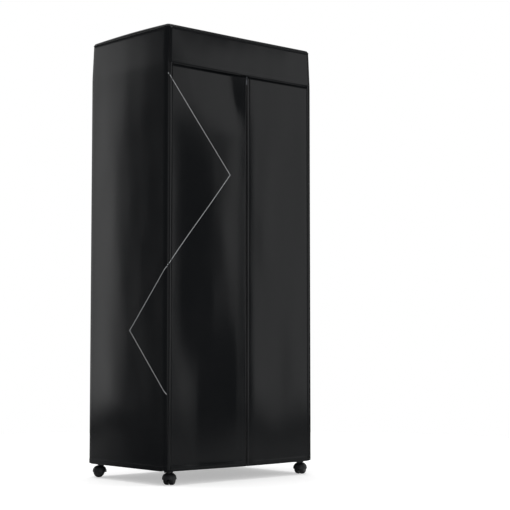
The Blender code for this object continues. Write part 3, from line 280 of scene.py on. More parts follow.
def dress(piece, finish, body, replaced=()):
    """Makes an object a piece: its finish, the body that it rides on and the nodes it replaces."""
    piece.data.materials.clear()
    piece.data.materials.append(FINISHES[finish])
    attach(piece, body)
    if replaced:
        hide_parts(*replaced)
    return piece


def piece_from(name, mesh, finish, body, replaced=()):
    """A piece made of a finished mesh."""
    return dress(linked(name, mesh), finish, body, replaced)


def sharpen(mesh, degrees):
    """Marks the edges that turn by more than this as sharp, so that only rounded parts are shaded smooth."""
    mesh.set_sharp_from_angle(angle=math.radians(degrees))
    return mesh


def mesh_from(bm, name, smooth=True):
    mesh = bpy.data.meshes.new(name)
    for face in bm.faces:
        face.smooth = smooth
    bm.to_mesh(mesh)
    bm.free()
    return mesh


def placed(bm, matrix):
    bmesh.ops.transform(bm, matrix=matrix, verts=bm.verts[:])
    return bm


def added(bm, other):
    """Adds a copy of another bmesh and frees it."""
    mesh = mesh_from(other, "part")
    bm.from_mesh(mesh)
    bpy.data.meshes.remove(mesh)
    return bm


def net(rows, places, skip=None, closed=False):
    """Quads between rows of points. places gives each point's place on the flat cloth, for its UV map."""
    bm = bmesh.new()
    verts = [[bm.verts.new(point) for point in row] for row in rows]
    layer = bm.loops.layers.uv.new("cloth")
    count = len(rows[0])
    for j in range(len(rows) - 1):
        for i in range(count if closed else count - 1):
            if skip and skip(i, j):
                continue
            corners = [(j, i), (j, i + 1), (j + 1, i + 1), (j + 1, i)]
            face = bm.faces.new([verts[row][column % count] for row, column in corners])
            for loop, (row, column) in zip(face.loops, corners):
                loop[layer].uv = places[row][column]
    return bm


def skin(bm, rings, closed=False, skip=None):
    """Faces from each ring of vertices to the next, and from the last to the first where they are closed.
    A ring of one vertex is a tip."""
    pairs = zip(rings, rings[1:] + rings[:1] if closed else rings[1:])
    for row, (low, high) in enumerate(pairs):
        for k in range(max(len(low), len(high))):
            n = k + 1
            corners = (low[k % len(low)], low[n % len(low)], high[n % len(high)], high[k % len(high)])
            unique = list(dict.fromkeys(corners))
            if len(unique) > 2 and not (skip and skip(row, k)):
                bm.faces.new(unique)
    bmesh.ops.recalc_face_normals(bm, faces=bm.faces[:])
    return bm


def turned(profile, steps, closed=False):
    """Turns a profile of (radius, height) about the Z axis. Its ends may be on the axis, or it is a loop."""
    bm = bmesh.new()
    rings = []
    for radius, height in profile:
        turns = full_turn(steps) if radius > 0 else [0.0]
        rings.append([bm.verts.new(around(radius, turn, height)) for turn in turns])
    return skin(bm, rings, closed)


def rounded(profile, radius, steps=4, closed=False):
    """The profile with each of its corners rounded by this radius, or less where its sides are short."""
    made = []
    count = len(profile)
    for i, point in enumerate(profile):
        if not closed and i in (0, count - 1):
            made.append(point)
            continue
        here = Vector(point)
        before = Vector(profile[i - 1]) - here
        after = Vector(profile[(i + 1) % count]) - here
        reach = min(radius, before.length * 0.45, after.length * 0.45)
        first = here + before.normalized() * reach
        last = here + after.normalized() * reach
        for k in range(steps + 1):
            t = k / steps
            made.append(tuple(first * (1 - t) ** 2 + here * 2 * t * (1 - t) + last * t**2))
    return made


def box_bm(low, high):
    bm = bmesh.new()
    bmesh.ops.create_cube(bm, size=1)
    for vert in bm.verts:
        for i in range(3):
            vert.co[i] = (low[i] + high[i]) / 2 + vert.co[i] * (high[i] - low[i])
    return bm


def soft_box(low, high, edge):
    """A box with rounded edges."""
    bm = box_bm(low, high)
    bmesh.ops.bevel(bm, geom=bm.edges[:], offset=edge, segments=3, affect="EDGES", profile=0.5)
    return bm


def cut(bm, cutter):
    """Cuts one closed mesh out of another."""
    whole, tool = linked("whole", mesh_from(bm, "whole")), linked("cutter", mesh_from(cutter, "cutter"))
    modifier = whole.modifiers.new("cut", "BOOLEAN")
    modifier.object = tool
    modifier.operation = "DIFFERENCE"
    modifier.solver = "EXACT"
    left = bmesh.new()
    left.from_object(whole, bpy.context.evaluated_depsgraph_get())
    bmesh.ops.remove_doubles(left, verts=left.verts[:], dist=1e-5)
    bmesh.ops.dissolve_degenerate(left, edges=left.edges[:], dist=1e-6)
    for holder in (whole, tool):
        bpy.data.meshes.remove(holder.data, do_unlink=True)
    return left


def softened_copy(node, name, width, angle=32):
    """A merged copy of a node's mesh with its faces joined and its edges rounded a little."""
    bm = bmesh.new()
    bm.from_mesh(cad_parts[node].data)
    bmesh.ops.remove_doubles(bm, verts=bm.verts[:], dist=0.00002)
    bmesh.ops.dissolve_limit(bm, angle_limit=math.radians(1.0), verts=bm.verts[:], edges=bm.edges[:])
    piece = linked(name, sharpen(mesh_from(bm, name), angle))
    bevel = piece.modifiers.new("edges", "BEVEL")
    bevel.width = width
    bevel.segments = 2
    bevel.limit_method = "ANGLE"
    bevel.angle_limit = math.radians(angle)
    bevel.harden_normals = True
    return piece


# Node groups that make what follows a line.


def new_tree(name, sizes):
    """A Geometry Nodes tree with a geometry in and out, a material and the named sizes."""
    tree = bpy.data.node_groups.new(name, "GeometryNodeTree")
    tree.interface.new_socket("Geometry", in_out="OUTPUT", socket_type="NodeSocketGeometry")
    for size, kind in (("Geometry", "NodeSocketGeometry"), ("Material", "NodeSocketMaterial"), *sizes):
        tree.interface.new_socket(size, in_out="INPUT", socket_type=kind)
    return tree, add_node(tree, "NodeGroupInput").outputs


def finish_tree(tree, inlet, geometry):
    real = add_node(tree, "GeometryNodeRealizeInstances", {"Geometry": geometry})
    links = {"Geometry": real.outputs["Geometry"], "Material": inlet["Material"]}
    painted = add_node(tree, "GeometryNodeSetMaterial", links)
    add_node(tree, "NodeGroupOutput", {"Geometry": painted.outputs["Geometry"]})


def tube_tree():
    """Round bars along the lines that it is given."""
    tree, inlet = new_tree("tube_along_line", [("Radius", "NodeSocketFloat"), ("Sides", "NodeSocketInt")])
    line = add_node(tree, "GeometryNodeMeshToCurve", {"Mesh": inlet["Geometry"]})
    sizes = {"Resolution": inlet["Sides"], "Radius": inlet["Radius"]}
    ring = add_node(tree, "GeometryNodeCurvePrimitiveCircle", sizes)
    links = {"Curve": line.outputs["Curve"], "Profile Curve": ring.outputs["Curve"], "Fill Caps": True}
    finish_tree(tree, inlet, add_node(tree, "GeometryNodeCurveToMesh", links).outputs["Mesh"])


def row_tree(name, shape, settings):
    """A small shape at an even pitch along lines, its X along the line, for stitches, zip teeth and fins."""
    tree, inlet = new_tree(name, [("Pitch", "NodeSocketFloat"), ("Size", "NodeSocketVector")])
    line = add_node(tree, "GeometryNodeMeshToCurve", {"Mesh": inlet["Geometry"]})
    pitch = {"Curve": line.outputs["Curve"], "Length": inlet["Pitch"]}
    points = add_node(tree, "GeometryNodeResampleCurve", pitch, mode="LENGTH")
    tangent = add_node(tree, "GeometryNodeInputTangent").outputs["Tangent"]
    turn = add_node(tree, "FunctionNodeAlignRotationToVector", {"Vector": tangent}, axis="X")
    links = {
        "Points": points.outputs["Curve"],
        "Instance": add_node(tree, shape, settings).outputs["Mesh"],
        "Rotation": turn.outputs["Rotation"],
        "Scale": inlet["Size"],
    }
    finish_tree(tree, inlet, add_node(tree, "GeometryNodeInstanceOnPoints", links).outputs["Instances"])


def grown(name, lines, group, finish, sizes, closed=False, smooth=True):
    """The plain mesh that a node group makes along lines of points, or round them where they are closed."""
    points, edges = [], []
    for line in lines:
        first = len(points)
        points += [tuple(point) for point in line]
        edges += [(first + i, first + i + 1) for i in range(len(line) - 1)]
        if closed:
            edges.append((len(points) - 1, first))
    mesh = bpy.data.meshes.new(f"{name}_lines")
    mesh.from_pydata(points, edges, [])
    holder = linked(f"{name}_lines", mesh)
    modifier = holder.modifiers.new("grow", "NODES")
    modifier.node_group = bpy.data.node_groups[group]
    values = {"Material": FINISHES[finish], **sizes}
    for item in modifier.node_group.interface.items_tree:
        if item.in_out == "INPUT" and item.name in values:
            modifier[item.identifier] = values[item.name]
    made = bpy.data.meshes.new_from_object(holder.evaluated_get(bpy.context.evaluated_depsgraph_get()))
    made.name = name
    for polygon in made.polygons:
        polygon.use_smooth = smooth
    holder.modifiers.remove(modifier)
    bpy.data.meshes.remove(mesh, do_unlink=True)
    return made


# Finishes.


def new_finish(name, code, roughness, metallic=0.0, gloss=0.5):
    """A material with its constants on the shader's own sockets, and the place that its patterns read."""
    finish = bpy.data.materials.new(name)
    finish.use_nodes = True
    tree = finish.node_tree
    shader = tree.nodes["Principled BSDF"]
    shader.inputs["Base Color"].default_value = linear(code)
    shader.inputs["Roughness"].default_value = roughness
    shader.inputs["Metallic"].default_value = metallic
    shader.inputs["Specular IOR Level"].default_value = gloss
    return finish, tree, shader, add_node(tree, "ShaderNodeTexCoord").outputs["Object"]


def blotches(tree, shader, place, scale, codes, levels, detail=3.0):
    """Soft noise that moves the colour between two hex values and the roughness between two levels."""
    sizes = {"Vector": place, "Scale": scale, "Detail": detail}
    cloud = add_node(tree, "ShaderNodeTexNoise", sizes).outputs["Fac"]
    colours = {"Factor": cloud, 6: linear(codes[0]), 7: linear(codes[1])}
    tint = add_node(tree, "ShaderNodeMix", colours, data_type="RGBA").outputs[2]
    tree.links.new(tint, shader.inputs["Base Color"])
    gloss = add_node(tree, "ShaderNodeMapRange", {"Value": cloud, "To Min": levels[0], "To Max": levels[1]})
    tree.links.new(gloss.outputs["Result"], shader.inputs["Roughness"])
    return tint


def raise_by(tree, shader, height, depth):
    """Drives the shader's normal by a height from 0 to 1 that stands for this depth."""
    bump = add_node(tree, "ShaderNodeBump", {"Strength": 1.0, "Distance": depth, "Height": height})
    tree.links.new(bump.outputs["Normal"], shader.inputs["Normal"])


def weave(tree, shader, across, along, pitch, depth):
    """Plain weave: threads that pass over and under each other at this pitch."""
    waves = []
    for way in (across, along):
        turn = add_node(tree, "ShaderNodeMath", {0: way, 1: 2 * math.pi / pitch}, operation="MULTIPLY")
        waves.append(add_node(tree, "ShaderNodeMath", {0: turn.outputs[0]}, operation="SINE").outputs[0])
    both = add_node(tree, "ShaderNodeMath", {0: waves[0], 1: waves[1]}, operation="MULTIPLY")
    height = add_node(tree, "ShaderNodeMath", {0: both.outputs[0], 1: 0.5, 2: 0.5}, operation="MULTIPLY_ADD")
    raise_by(tree, shader, height.outputs[0], depth)
    return height.outputs[0]


def grained(name, codes, levels, scale, grain=None, depth=0.0, metallic=0.0, gloss=0.5, detail=2.0):
    """Slow blotches over a fine grain. grain is its scale each way, so that it can run in lines."""
    finish, tree, shader, place = new_finish(name, codes[0], levels[0], metallic, gloss)
    blotches(tree, shader, place, scale, codes, levels)
    if grain:
        drawn = add_node(tree, "ShaderNodeMapping", {"Vector": place, "Scale": grain}).outputs["Vector"]
        skin_noise = add_node(tree, "ShaderNodeTexNoise", {"Vector": drawn, "Scale": 1.0, "Detail": detail})
        raise_by(tree, shader, skin_noise.outputs["Fac"], depth)
    return finish


def chevron(tree, across, along, tip, slope, width, side):
    """Mask of one printed line that runs to a tip and back, on the named side of the front corner."""
    away = add_node(tree, "ShaderNodeMath", {0: along, 1: tip[1]}, operation="SUBTRACT")
    climb = add_node(tree, "ShaderNodeMath", {0: away.outputs[0]}, operation="ABSOLUTE")
    links = {0: climb.outputs[0], 1: slope, 2: tip[0]}
    line = add_node(tree, "ShaderNodeMath", links, operation="MULTIPLY_ADD")
    off = add_node(tree, "ShaderNodeMath", {0: across, 1: line.outputs[0]}, operation="SUBTRACT")
    gap = add_node(tree, "ShaderNodeMath", {0: off.outputs[0]}, operation="ABSOLUTE")
    lean = math.hypot(1, slope)
    ends = {"From Min": (width / 2 + STRIPE_BLUR) * lean, "From Max": (width / 2 - STRIPE_BLUR) * lean}
    ink = add_node(tree, "ShaderNodeMapRange", {"Value": gap.outputs[0], **ends})
    here = "LESS_THAN" if side == "left" else "GREATER_THAN"
    corner = add_node(tree, "ShaderNodeMath", {0: across, 1: STRIPE_CORNER}, operation=here)
    links = {0: ink.outputs[0], 1: corner.outputs[0]}
    return add_node(tree, "ShaderNodeMath", links, operation="MULTIPLY").outputs[0]


def coated_polyester(settings):
    """Coated polyester, woven and then sealed: near-black cloth with a satin gloss that shows each fold."""
    level, code = settings.cloth_roughness, settings.cloth_colour
    finish, tree, shader, body = new_finish("coated_polyester_cloth", code, level, gloss=settings.cloth_gloss)
    flat = add_node(tree, "ShaderNodeUVMap", uv_map="cloth").outputs["UV"]
    place = add_node(tree, "ShaderNodeSeparateXYZ", {"Vector": flat})
    across, along = place.outputs["X"], place.outputs["Y"]
    # Threads are about 0.4 mm apart, and drawn three times as coarse so that a close view shows them.
    height = weave(tree, shader, across, along, settings.thread_pitch, 0.000014)
    worn = blotches(
        tree, shader, body, 9.0, (code, settings.cloth_worn_colour), (level - 0.03, level + 0.03), detail=4.0
    )
    # Painted shade: the cloth's colour goes to the darker gap colour where the weave is low, between the
    # threads.
    gaps = {"Factor": height, 6: linear(settings.cloth_gap_shade_colour), 7: worn}
    threads = add_node(tree, "ShaderNodeMix", gaps, data_type="RGBA")
    front = chevron(tree, across, along, FRONT_TIP, FRONT_SLOPE, settings.stripe_width, "right")
    side = chevron(tree, across, along, SIDE_TIP, SIDE_SLOPE, settings.stripe_width, "left")
    both = add_node(tree, "ShaderNodeMath", {0: front, 1: side}, operation="MAXIMUM")
    # The line is printed on the cloth's outer face alone: the one that looks away from the cabinet's middle.
    normal = add_node(tree, "ShaderNodeTexCoord").outputs["Normal"]
    level_place = add_node(tree, "ShaderNodeVectorMath", {0: body, 1: (1, 1, 0)}, operation="MULTIPLY")
    links = {0: level_place.outputs["Vector"], 1: normal}
    facing = add_node(tree, "ShaderNodeVectorMath", links, operation="DOT_PRODUCT")
    outside = add_node(tree, "ShaderNodeMath", {0: facing.outputs["Value"], 1: 0.0}, operation="GREATER_THAN")
    ink = add_node(tree, "ShaderNodeMath", {0: both.outputs[0], 1: outside.outputs[0]}, operation="MULTIPLY")
    colours = {"Factor": ink.outputs[0], 6: threads.outputs[2], 7: linear(settings.stripe_colour)}
    printed = add_node(tree, "ShaderNodeMix", colours, data_type="RGBA")
    tree.links.new(printed.outputs[2], shader.inputs["Base Color"])
    return finish


def woven_tape():
    """Polyester zip tape: a close ribbed weave, duller than the cloth beside it."""
    finish, tree, shader, body = new_finish("woven_zip_tape", "#151516", 0.7, gloss=0.15)
    shader.inputs["Sheen Weight"].default_value = 0.15
    place = add_node(tree, "ShaderNodeSeparateXYZ", {"Vector": body})
    # Ribs are about 0.5 mm apart, and drawn twice as coarse so that a close view shows them.
    weave(tree, shader, place.outputs["X"], place.outputs["Z"], 0.001, 0.0001)
    blotches(tree, shader, body, 60.0, ("#0d0d0e", "#141415"), (0.62, 0.78))
    return finish


def binding_cloth():
    """Coated binding drawn tight over a cord: smooth, with a clearer gloss than the wide cloth."""
    codes, levels = ("#101112", "#17181a"), (0.26, 0.36)
    return grained("coated_binding", codes, levels, 35.0, (700.0,) * 3, 0.00003, gloss=0.2)


def spun_thread():
    """Spun polyester thread: dull, slightly lighter than the cloth, uneven along its length."""
    return grained("spun_polyester_thread", ("#202021", "#353536"), (0.55, 0.75), 900.0, gloss=0.3)


def moulded_nylon(name, codes, roughness):
    """Injection-moulded nylon with an eroded mould texture: fine dull grain with paler rubbed places."""
    # The mould's grain is about 0.3 mm, drawn at 0.8 mm so that a close view shows it.
    levels = (roughness - 0.07, roughness + 0.08)
    return grained(name, codes, levels, 45.0, (1250.0,) * 3, 0.00005, gloss=0.35)


def wheel_polymer():
    """Moulded polypropylene wheel: smooth black, with greyer places where it has been rubbed."""
    codes, levels, grain = ("#161718", "#242526"), (0.33, 0.5), (900.0,) * 3
    return grained("rolled_polypropylene", codes, levels, 120.0, grain, 0.00004, gloss=0.35, detail=3.0)


def chromed_steel():
    """Chrome-plated steel tube: bright, with faint draw lines along it and a little haze."""
    codes, levels = ("#c2c4c7", "#d3d5d7"), (0.10, 0.2)
    return grained("chromed_steel_tube", codes, levels, 30.0, (6.0, 900.0, 900.0), 0.000004, metallic=1.0)


def blackened_zinc():
    """Die-cast zinc with black plating: dark metal, rubbed brighter in places."""
    codes, levels = ("#2c2d30", "#56585c"), (0.25, 0.42)
    return grained("black_plated_zinc", codes, levels, 400.0, (2200.0,) * 3, 0.00002, metallic=0.9)


def gloss_plastic(name, codes, levels, scale, grain, depth):
    """Moulded plastic, or what is as smooth: a clear gloss with slight flow marks and a fine skin."""
    return grained(name, codes, levels, scale, (grain,) * 3, depth)


def bare_metal(name, codes, levels, grain):
    """Rolled or drawn metal: bright, with fine lines along one direction."""
    return grained(name, codes, levels, 120.0, grain, 0.00001, metallic=1.0)


# Settings.

Length = partial(bpy.props.FloatProperty, unit="LENGTH")
Power = partial(bpy.props.FloatProperty, unit="POWER")
Strength = partial(bpy.props.FloatProperty, min=0.0)
Share = partial(bpy.props.FloatProperty, min=0.0, max=1.0)
Count = partial(bpy.props.IntProperty, min=8)
HexCode = bpy.props.StringProperty


class CoverSettings(bpy.types.PropertyGroup):
    """Sizes and colours of the cloth cover."""

    cloth_thickness: Length(name="Cloth thickness", description="Thickness of the cloth", default=0.0009)
    cloth_colour: HexCode(name="Cloth colour", description="Hex colour of the cloth", default="#16181a")
    # Painted shade: the gaps between threads are drawn in this darker colour, which stands for the shade that
    # falls between them.
    cloth_gap_shade_colour: HexCode(
        name="Cloth gap colour", description="Hex colour in the gaps between threads", default="#0a0b0c"
    )
    cloth_worn_colour: HexCode(
        name="Handled cloth colour", description="Hex colour where the cloth is rubbed", default="#1b1c1e"
    )
    cloth_roughness: Share(name="Cloth roughness", description="How dull the coated cloth is", default=0.11)
    cloth_gloss: Share(name="Cloth gloss", description="How much light the coating reflects", default=0.12)
    thread_pitch: Length(name="Thread pitch", description="Distance between drawn threads", default=0.0012)
    stripe_width: Length(name="Stripe width", description="Width of the printed line", default=0.0019)
    stripe_colour: HexCode(name="Stripe colour", description="Hex colour of the stripe", default="#b9bbbd")
    fold_depth: Length(name="Fold depth", description="Depth of the main folds of the doors", default=0.006)
    stitch_pitch: Length(name="Stitch pitch", description="Distance between stitches", default=0.0035)
    stitch_size: bpy.props.FloatVectorProperty(
        name="Stitch size",
        description="Length and thickness of a stitch",
        default=(0.0027, 0.0008, 0.0008),
        unit="LENGTH",
    )
    piping_radius: Length(name="Piping radius", description="Radius of the sewn-in cord", default=0.0015)
    tooth_pitch: Length(name="Tooth pitch", description="Distance between teeth on one side", default=0.0026)


class FrameSettings(bpy.types.PropertyGroup):
    """Sizes of the tube frame."""

    post_diameter: Length(name="Post diameter", description="Outside of the upright tubes", default=0.022)
    rail_diameter: Length(name="Rail diameter", description="Outside of the cross tubes", default=0.015)
    tube_sides: Count(name="Tube sides", description="Faces round each tube", default=40)
    bar_bevel: Length(name="Bar bevel", description="Rounding of the moulded bars' edges", default=0.0005)


class CasterSettings(bpy.types.PropertyGroup):
    """Sizes of the twin-wheel casters."""

    wheel_diameter: Length(name="Wheel diameter", description="Outside of the wheels", default=0.040)
    pair_width: Length(name="Pair width", description="Width over both wheels", default=0.041)
    wheel_gap: Length(name="Wheel gap", description="Gap between the two wheels", default=0.007)
    hood_wall: Length(name="Hood wall", description="Wall of the moulded hood", default=0.0016)


class HeaterSettings(bpy.types.PropertyGroup):
    """Sizes of the fan heater."""

    turned_steps: Count(name="Turned steps", description="Faces round each turned piece", default=112)
    cage_columns: Count(name="Cage bars", description="Upright bars of the outlet cage", default=40)
    fin_pitch: Length(name="Fin pitch", description="Distance between the element's fins", default=0.0016)


class StageSettings(bpy.types.PropertyGroup):
    """Floor, lamps and camera."""

    front_lamp: Power(name="Front lamp", description="Power of the softbox at the front right", default=17.0)
    side_lamp: Power(name="Side lamp", description="Power of the softbox at the back left", default=20.0)
    upper_lamp: Power(name="Upper lamp", description="Power of the small softbox high up", default=3.4)
    corner_lamp: Power(
        name="Corner lamp", description="Power of the softbox that the front corner mirrors", default=50.0
    )
    top_lamp: Power(name="Top lamp", description="Power of the softbox overhead", default=90.0)
    room_light: Strength(name="Room light", description="Strength of the light from all round", default=0.55)
    room_mirrored: Strength(
        name="Mirrored room", description="Brightness of the room's dark half in reflections", default=0.12
    )
    floor_radius: Length(name="Floor radius", description="Reach of the round floor", default=2.6)
    floor_lift: Strength(name="Floor lift", description="White that the floor adds in view", default=0.42)


# The cover.


def wrinkle(x, y, z, depth, size):
    """Slight hanging wrinkles, about three times as tall as they are wide."""
    return depth * noise.noise(Vector((x / size, y / size, z / size / 3)))


def left_folds(x, z, depth):
    """Folds of the left door: a valley low down, a slanting one under the band, an edge that stands out
    beside the zip, and a crest. Each has a middle and a reach to either side, first across and then up."""
    low = crease(x, -0.205, 0.13, 0.17) * hump(z, 0.26, 0.45, 0.42)
    slant = -0.062 + 0.22 * max(0.0, 1.49 - z)
    reach = max(0.02, LEFT_DOOR_EDGE - slant)
    high = crease(x, slant, 0.20, reach) * ease(z, 1.26, 1.43)
    lift_high = 0.42 * clamp01((x - slant) / reach) * ease(z, 1.30, 1.42)
    lift_low = 0.35 * clamp01((x + 0.125) / 0.142) ** 1.2 * hump(z, 0.42, 0.34, 0.34)
    crest = 0.32 * hump(x, -0.115, 0.17, 0.11) * hump(z, 0.98, 0.42, 0.40)
    return depth * (lift_low + lift_high + crest - low - 0.8 * high)


def right_folds(x, z, depth):
    """Folds of the right door, which hangs almost flat: two shallow valleys."""
    low = 0.30 * hump(x, 0.17, 0.13, 0.14) * hump(z, 0.40, 0.35, 0.40)
    high = 0.22 * hump(x, 0.22, 0.12, 0.11) * hump(z, 1.10, 0.40, 0.40)
    return -depth * (low + high)


# Where each door is sewn on, where it ends at the zip, and its folds.
DOORS = {"left": (LEFT_SEAM, LEFT_DOOR_EDGE, left_folds), "right": (RIGHT_SEAM, RIGHT_DOOR_EDGE, right_folds)}


def corner_drop(distance):
    """How far the hem hangs lower away from the corners, where the frame holds it up."""
    return CORNER_DROP * ease(distance, 0.002, 0.030)


def hem_drop(x):
    """How far the hem of the front or the back hangs below its line."""
    return HEM_SAG * arch((x + HALF_WIDTH) / (2 * HALF_WIDTH)) + corner_drop(HALF_WIDTH - abs(x))


def hem_relief(distance, width=HEM_WIDTH, rise=HEM_RISE):
    """How far the doubled cloth of a hem stands proud at this distance from the edge."""
    return rise * (1 - ease(distance, width - 0.002, width + 0.001))


def strip_swell(x, z):
    """The front left strip stands out towards the corner, so that it faces a little to the right. It starts
    clear of the seam, so that the open door doesn't touch it."""
    clear, slope, most = 0.002, 0.15, 0.0016
    out = min(slope * max(0.0, -STRIP_EDGE - clear - x), most)
    return out * ease(z, 0.06, 0.12) * (1 - ease(z, 1.44, 1.50))


def seam_slope(distance, z):
    """How far the left door sinks from its seam inwards, so that its first part faces a little right."""
    depth, reach = 0.0015, 0.050
    sink = depth * (1 - (1 - clamp01(distance / reach)) ** 2) * (1 - ease(distance, reach, 0.20))
    return sink * ease(z, 0.32, 0.60) * (1 - ease(z, 1.18, 1.38))


def narrowing(z):
    """The cover is drawn in towards its roof: its share of the full width at this height."""
    return 1 - ROOF_DRAW_IN * clamp01((z - PELMET_LOW) / (ROOF_TOP - PELMET_LOW)) / HALF_WIDTH


def shell_ring():
    """Points round the cover from the left edge of the door opening by the back to it again: place, outward
    direction and distance round the cloth from the front left corner."""
    ring = []
    x_in = HALF_WIDTH - CORNER_RADIUS
    front_in, back_in = FRONT_FACE + CORNER_RADIUS, BACK_FACE - CORNER_RADIUS
    run = x_in - STRIP_EDGE

    def straight(start, end, normal, step):
        nonlocal run
        start, end = Vector(start), Vector(end)
        for place in spread(0, (end - start).length, step)[:-1]:
            ring.append((start + (end - start).normalized() * place, Vector(normal), run - place))
        run -= (end - start).length

    def corner(centre, first, steps=7):
        nonlocal run
        length_round = CORNER_RADIUS * math.pi / 2
        for k in range(steps):
            out = Vector(around(1, first - math.pi / 2 * k / steps)[:2])
            ring.append((Vector(centre) + out * CORNER_RADIUS, out, run - length_round * k / steps))
        run -= length_round

    straight((-STRIP_EDGE, FRONT_FACE), (-x_in, FRONT_FACE), (0, -1), 0.004)
    corner((-x_in, front_in), -math.pi / 2)
    straight((-HALF_WIDTH, front_in), (-HALF_WIDTH, back_in), (-1, 0), 0.010)
    corner((-x_in, back_in), math.pi)
    straight((-x_in, BACK_FACE), (x_in, BACK_FACE), (0, 1), 0.011)
    corner((x_in, back_in), math.pi / 2)
    straight((HALF_WIDTH, back_in), (HALF_WIDTH, front_in), (1, 0), 0.010)
    corner((x_in, front_in), 0.0)
    straight((x_in, FRONT_FACE), (STRIP_EDGE, FRONT_FACE), (0, -1), 0.004)
    opening = len(ring)
    straight((STRIP_EDGE, FRONT_FACE), (-STRIP_EDGE, FRONT_FACE), (0, -1), 0.012)
    return ring, opening, run


def shell_relief(point, normal, z):
    """How far the cloth of the shell stands out of its plain plane here. The sides bulge, the back has two
    hollows, and slight wrinkles fade towards the corners and where the cloth is taut."""
    on_side, on_front, on_back = abs(normal.x) > FLAT_SIDE, normal.y < -FLAT_SIDE, normal.y > FLAT_SIDE
    up = ease(z, HEM_LINE, 0.30) * (1 - ease(z, 1.30, 1.60))
    total = 0.0
    corner = HALF_WIDTH - abs(point.x)
    if on_side:
        across = (point.y - FRONT_FACE) / (BACK_FACE - FRONT_FACE)
        total += SIDE_BULGE * hump(across, 0.64, 0.62, 0.34) * up
        corner = min(abs(point.y - FRONT_FACE), abs(BACK_FACE - point.y))
    if on_back:
        across = (point.x + HALF_WIDTH) / (2 * HALF_WIDTH)
        total -= BACK_HOLLOW * (hump(across, 0.30, 0.22, 0.22) + hump(across, 0.70, 0.22, 0.22)) * up
    depth = (LEFT_WRINKLES if normal.x < 0 else RIGHT_WRINKLES) if on_side else BACK_WRINKLES
    loose = (0.35 + 0.65 * up) * clamp01((corner - CORNER_RADIUS) / 0.05)
    total += loose * wrinkle(point.x + 3, point.y, z, depth, 0.085)
    if normal.y < 0 and point.x < 0:
        total += strip_swell(point.x, z) * normal.y**2
    return total + hem_relief(z - HEM_LINE) * (ease(abs(point.x) - STRIP_EDGE, 0.0, 0.006) if on_front else 1)


def shell_point(point, normal, z):
    """A point of the shell's outer face over this point of its ring."""
    out = (point + normal * shell_relief(point, normal, z)) * narrowing(z)
    if abs(normal.y) > FLAT_SIDE:
        drop = hem_drop(point.x)
    else:
        drop = corner_drop(HALF_WIDTH - abs(point.x) + min(point.y - FRONT_FACE, BACK_FACE - point.y))
    return Vector((out.x, out.y, z - drop * (1 - ease(z, HEM_LINE, HEM_END))))


def roof_crown(x, y):
    """The roof stands over the middles of the two top bars and is lower between them."""
    depth = arch((y - FRONT_FACE) / (BACK_FACE - FRONT_FACE))
    sag = ROOF_SAG * (1 - ease(abs(x), 0.0, HALF_WIDTH))
    return depth * (ROOF_CROWN * clamp01(abs(x) / HALF_WIDTH * 2) - sag)


def roof_row(ring, z, inset, share):
    """One ring of the roof, drawn in from its edge and shrunk to a share of its size."""
    row = []
    for point, normal, _ in ring:
        x = (point.x - normal.x * inset) * narrowing(ROOF_TOP) * share
        y = MIDDLE_Y + ((point.y - normal.y * inset) * narrowing(ROOF_TOP) - MIDDLE_Y) * share
        lift = roof_crown(x, y) * ease(z, SHOULDER, ROOF_TOP)
        row.append((x, y, z + lift + wrinkle(x, y, z, ROOF_WRINKLES, 0.07) * ease(1 - share, 0.0, 0.1)))
    return row


def cloth_mesh(bm, name):
    """Makes the mesh of a net of cloth, without the points that no face uses."""
    bmesh.ops.delete(bm, geom=[vert for vert in bm.verts if not vert.link_faces], context="VERTS")
    return mesh_from(bm, name)


def shell_mesh():
    """The shell in one net: up the sides, over the rounded shoulder and in to the roof's middle."""
    ring, opening, end = shell_ring()
    heights = spread(HEM_LINE, CLOSE_ROWS, CLOSE_STEP)[:-1] + spread(CLOSE_ROWS, DOOR_TOP, 0.013)
    opening_rows = len(heights) - 1
    heights += spread(DOOR_TOP, SHOULDER, 0.012)[1:]
    runs = [run for _, _, run in ring] + [end]
    rows = [[shell_point(point, normal, z) for point, normal, _ in ring] for z in heights]
    places = [[(run, z) for run in runs] for z in heights]
    for angle in spread(0, math.pi / 2, math.pi / 8)[1:]:
        z, inset = SHOULDER + ROOF_RADIUS * math.sin(angle), ROOF_RADIUS * (1 - math.cos(angle))
        rows.append(roof_row(ring, z, inset, 1))
        places.append([(run, SHOULDER + ROOF_RADIUS * angle) for run in runs])
    for share_left in (0.94, 0.86, 0.76, 0.64, 0.5, 0.36, 0.22, 0.1):
        rows.append(roof_row(ring, ROOF_TOP, ROOF_RADIUS, share_left))
        places.append([(run * share_left, ROOF_TOP + 0.3 * (1 - share_left)) for run in runs])
    bm = net(rows, places, skip=lambda i, j: i >= opening and j < opening_rows, closed=True)
    bm.verts.ensure_lookup_table()
    last = bm.verts[-len(ring) :]
    middle = bm.verts.new((0, MIDDLE_Y, ROOF_TOP + roof_crown(0, 0)))
    for near, far in zip(last, last[1:] + last[:1]):
        bm.faces.new((near, far, middle))
    bmesh.ops.reverse_faces(bm, faces=bm.faces[:])
    return cloth_mesh(bm, "cover_shell")


def door_point(door, x, z, depth):
    """A point of a door's outer face, which follows the table of its height beside the zip."""
    seam, edge, folds = door
    from_seam, from_edge = abs(x - seam), abs(x - edge)
    taut = clamp01(from_seam / 0.03) * clamp01(from_edge / 0.022)
    out = folds(x, z, depth) + wrinkle(x, 0, z, DOOR_WRINKLES, 0.075) * taut
    out += hem_relief(z - HEM_LINE) * ease(from_seam, 0.0, 0.006) * ease(from_edge, 0.010, 0.020)
    out += from_table(LEFT_ZIP_EDGE if edge > seam else RIGHT_ZIP_EDGE, from_edge)
    out -= seam_slope(x - seam, z) if edge > seam else 0
    return Vector((x, FRONT_FACE - out, z - hem_drop(x) * (1 - ease(z, HEM_LINE, HEM_END))))


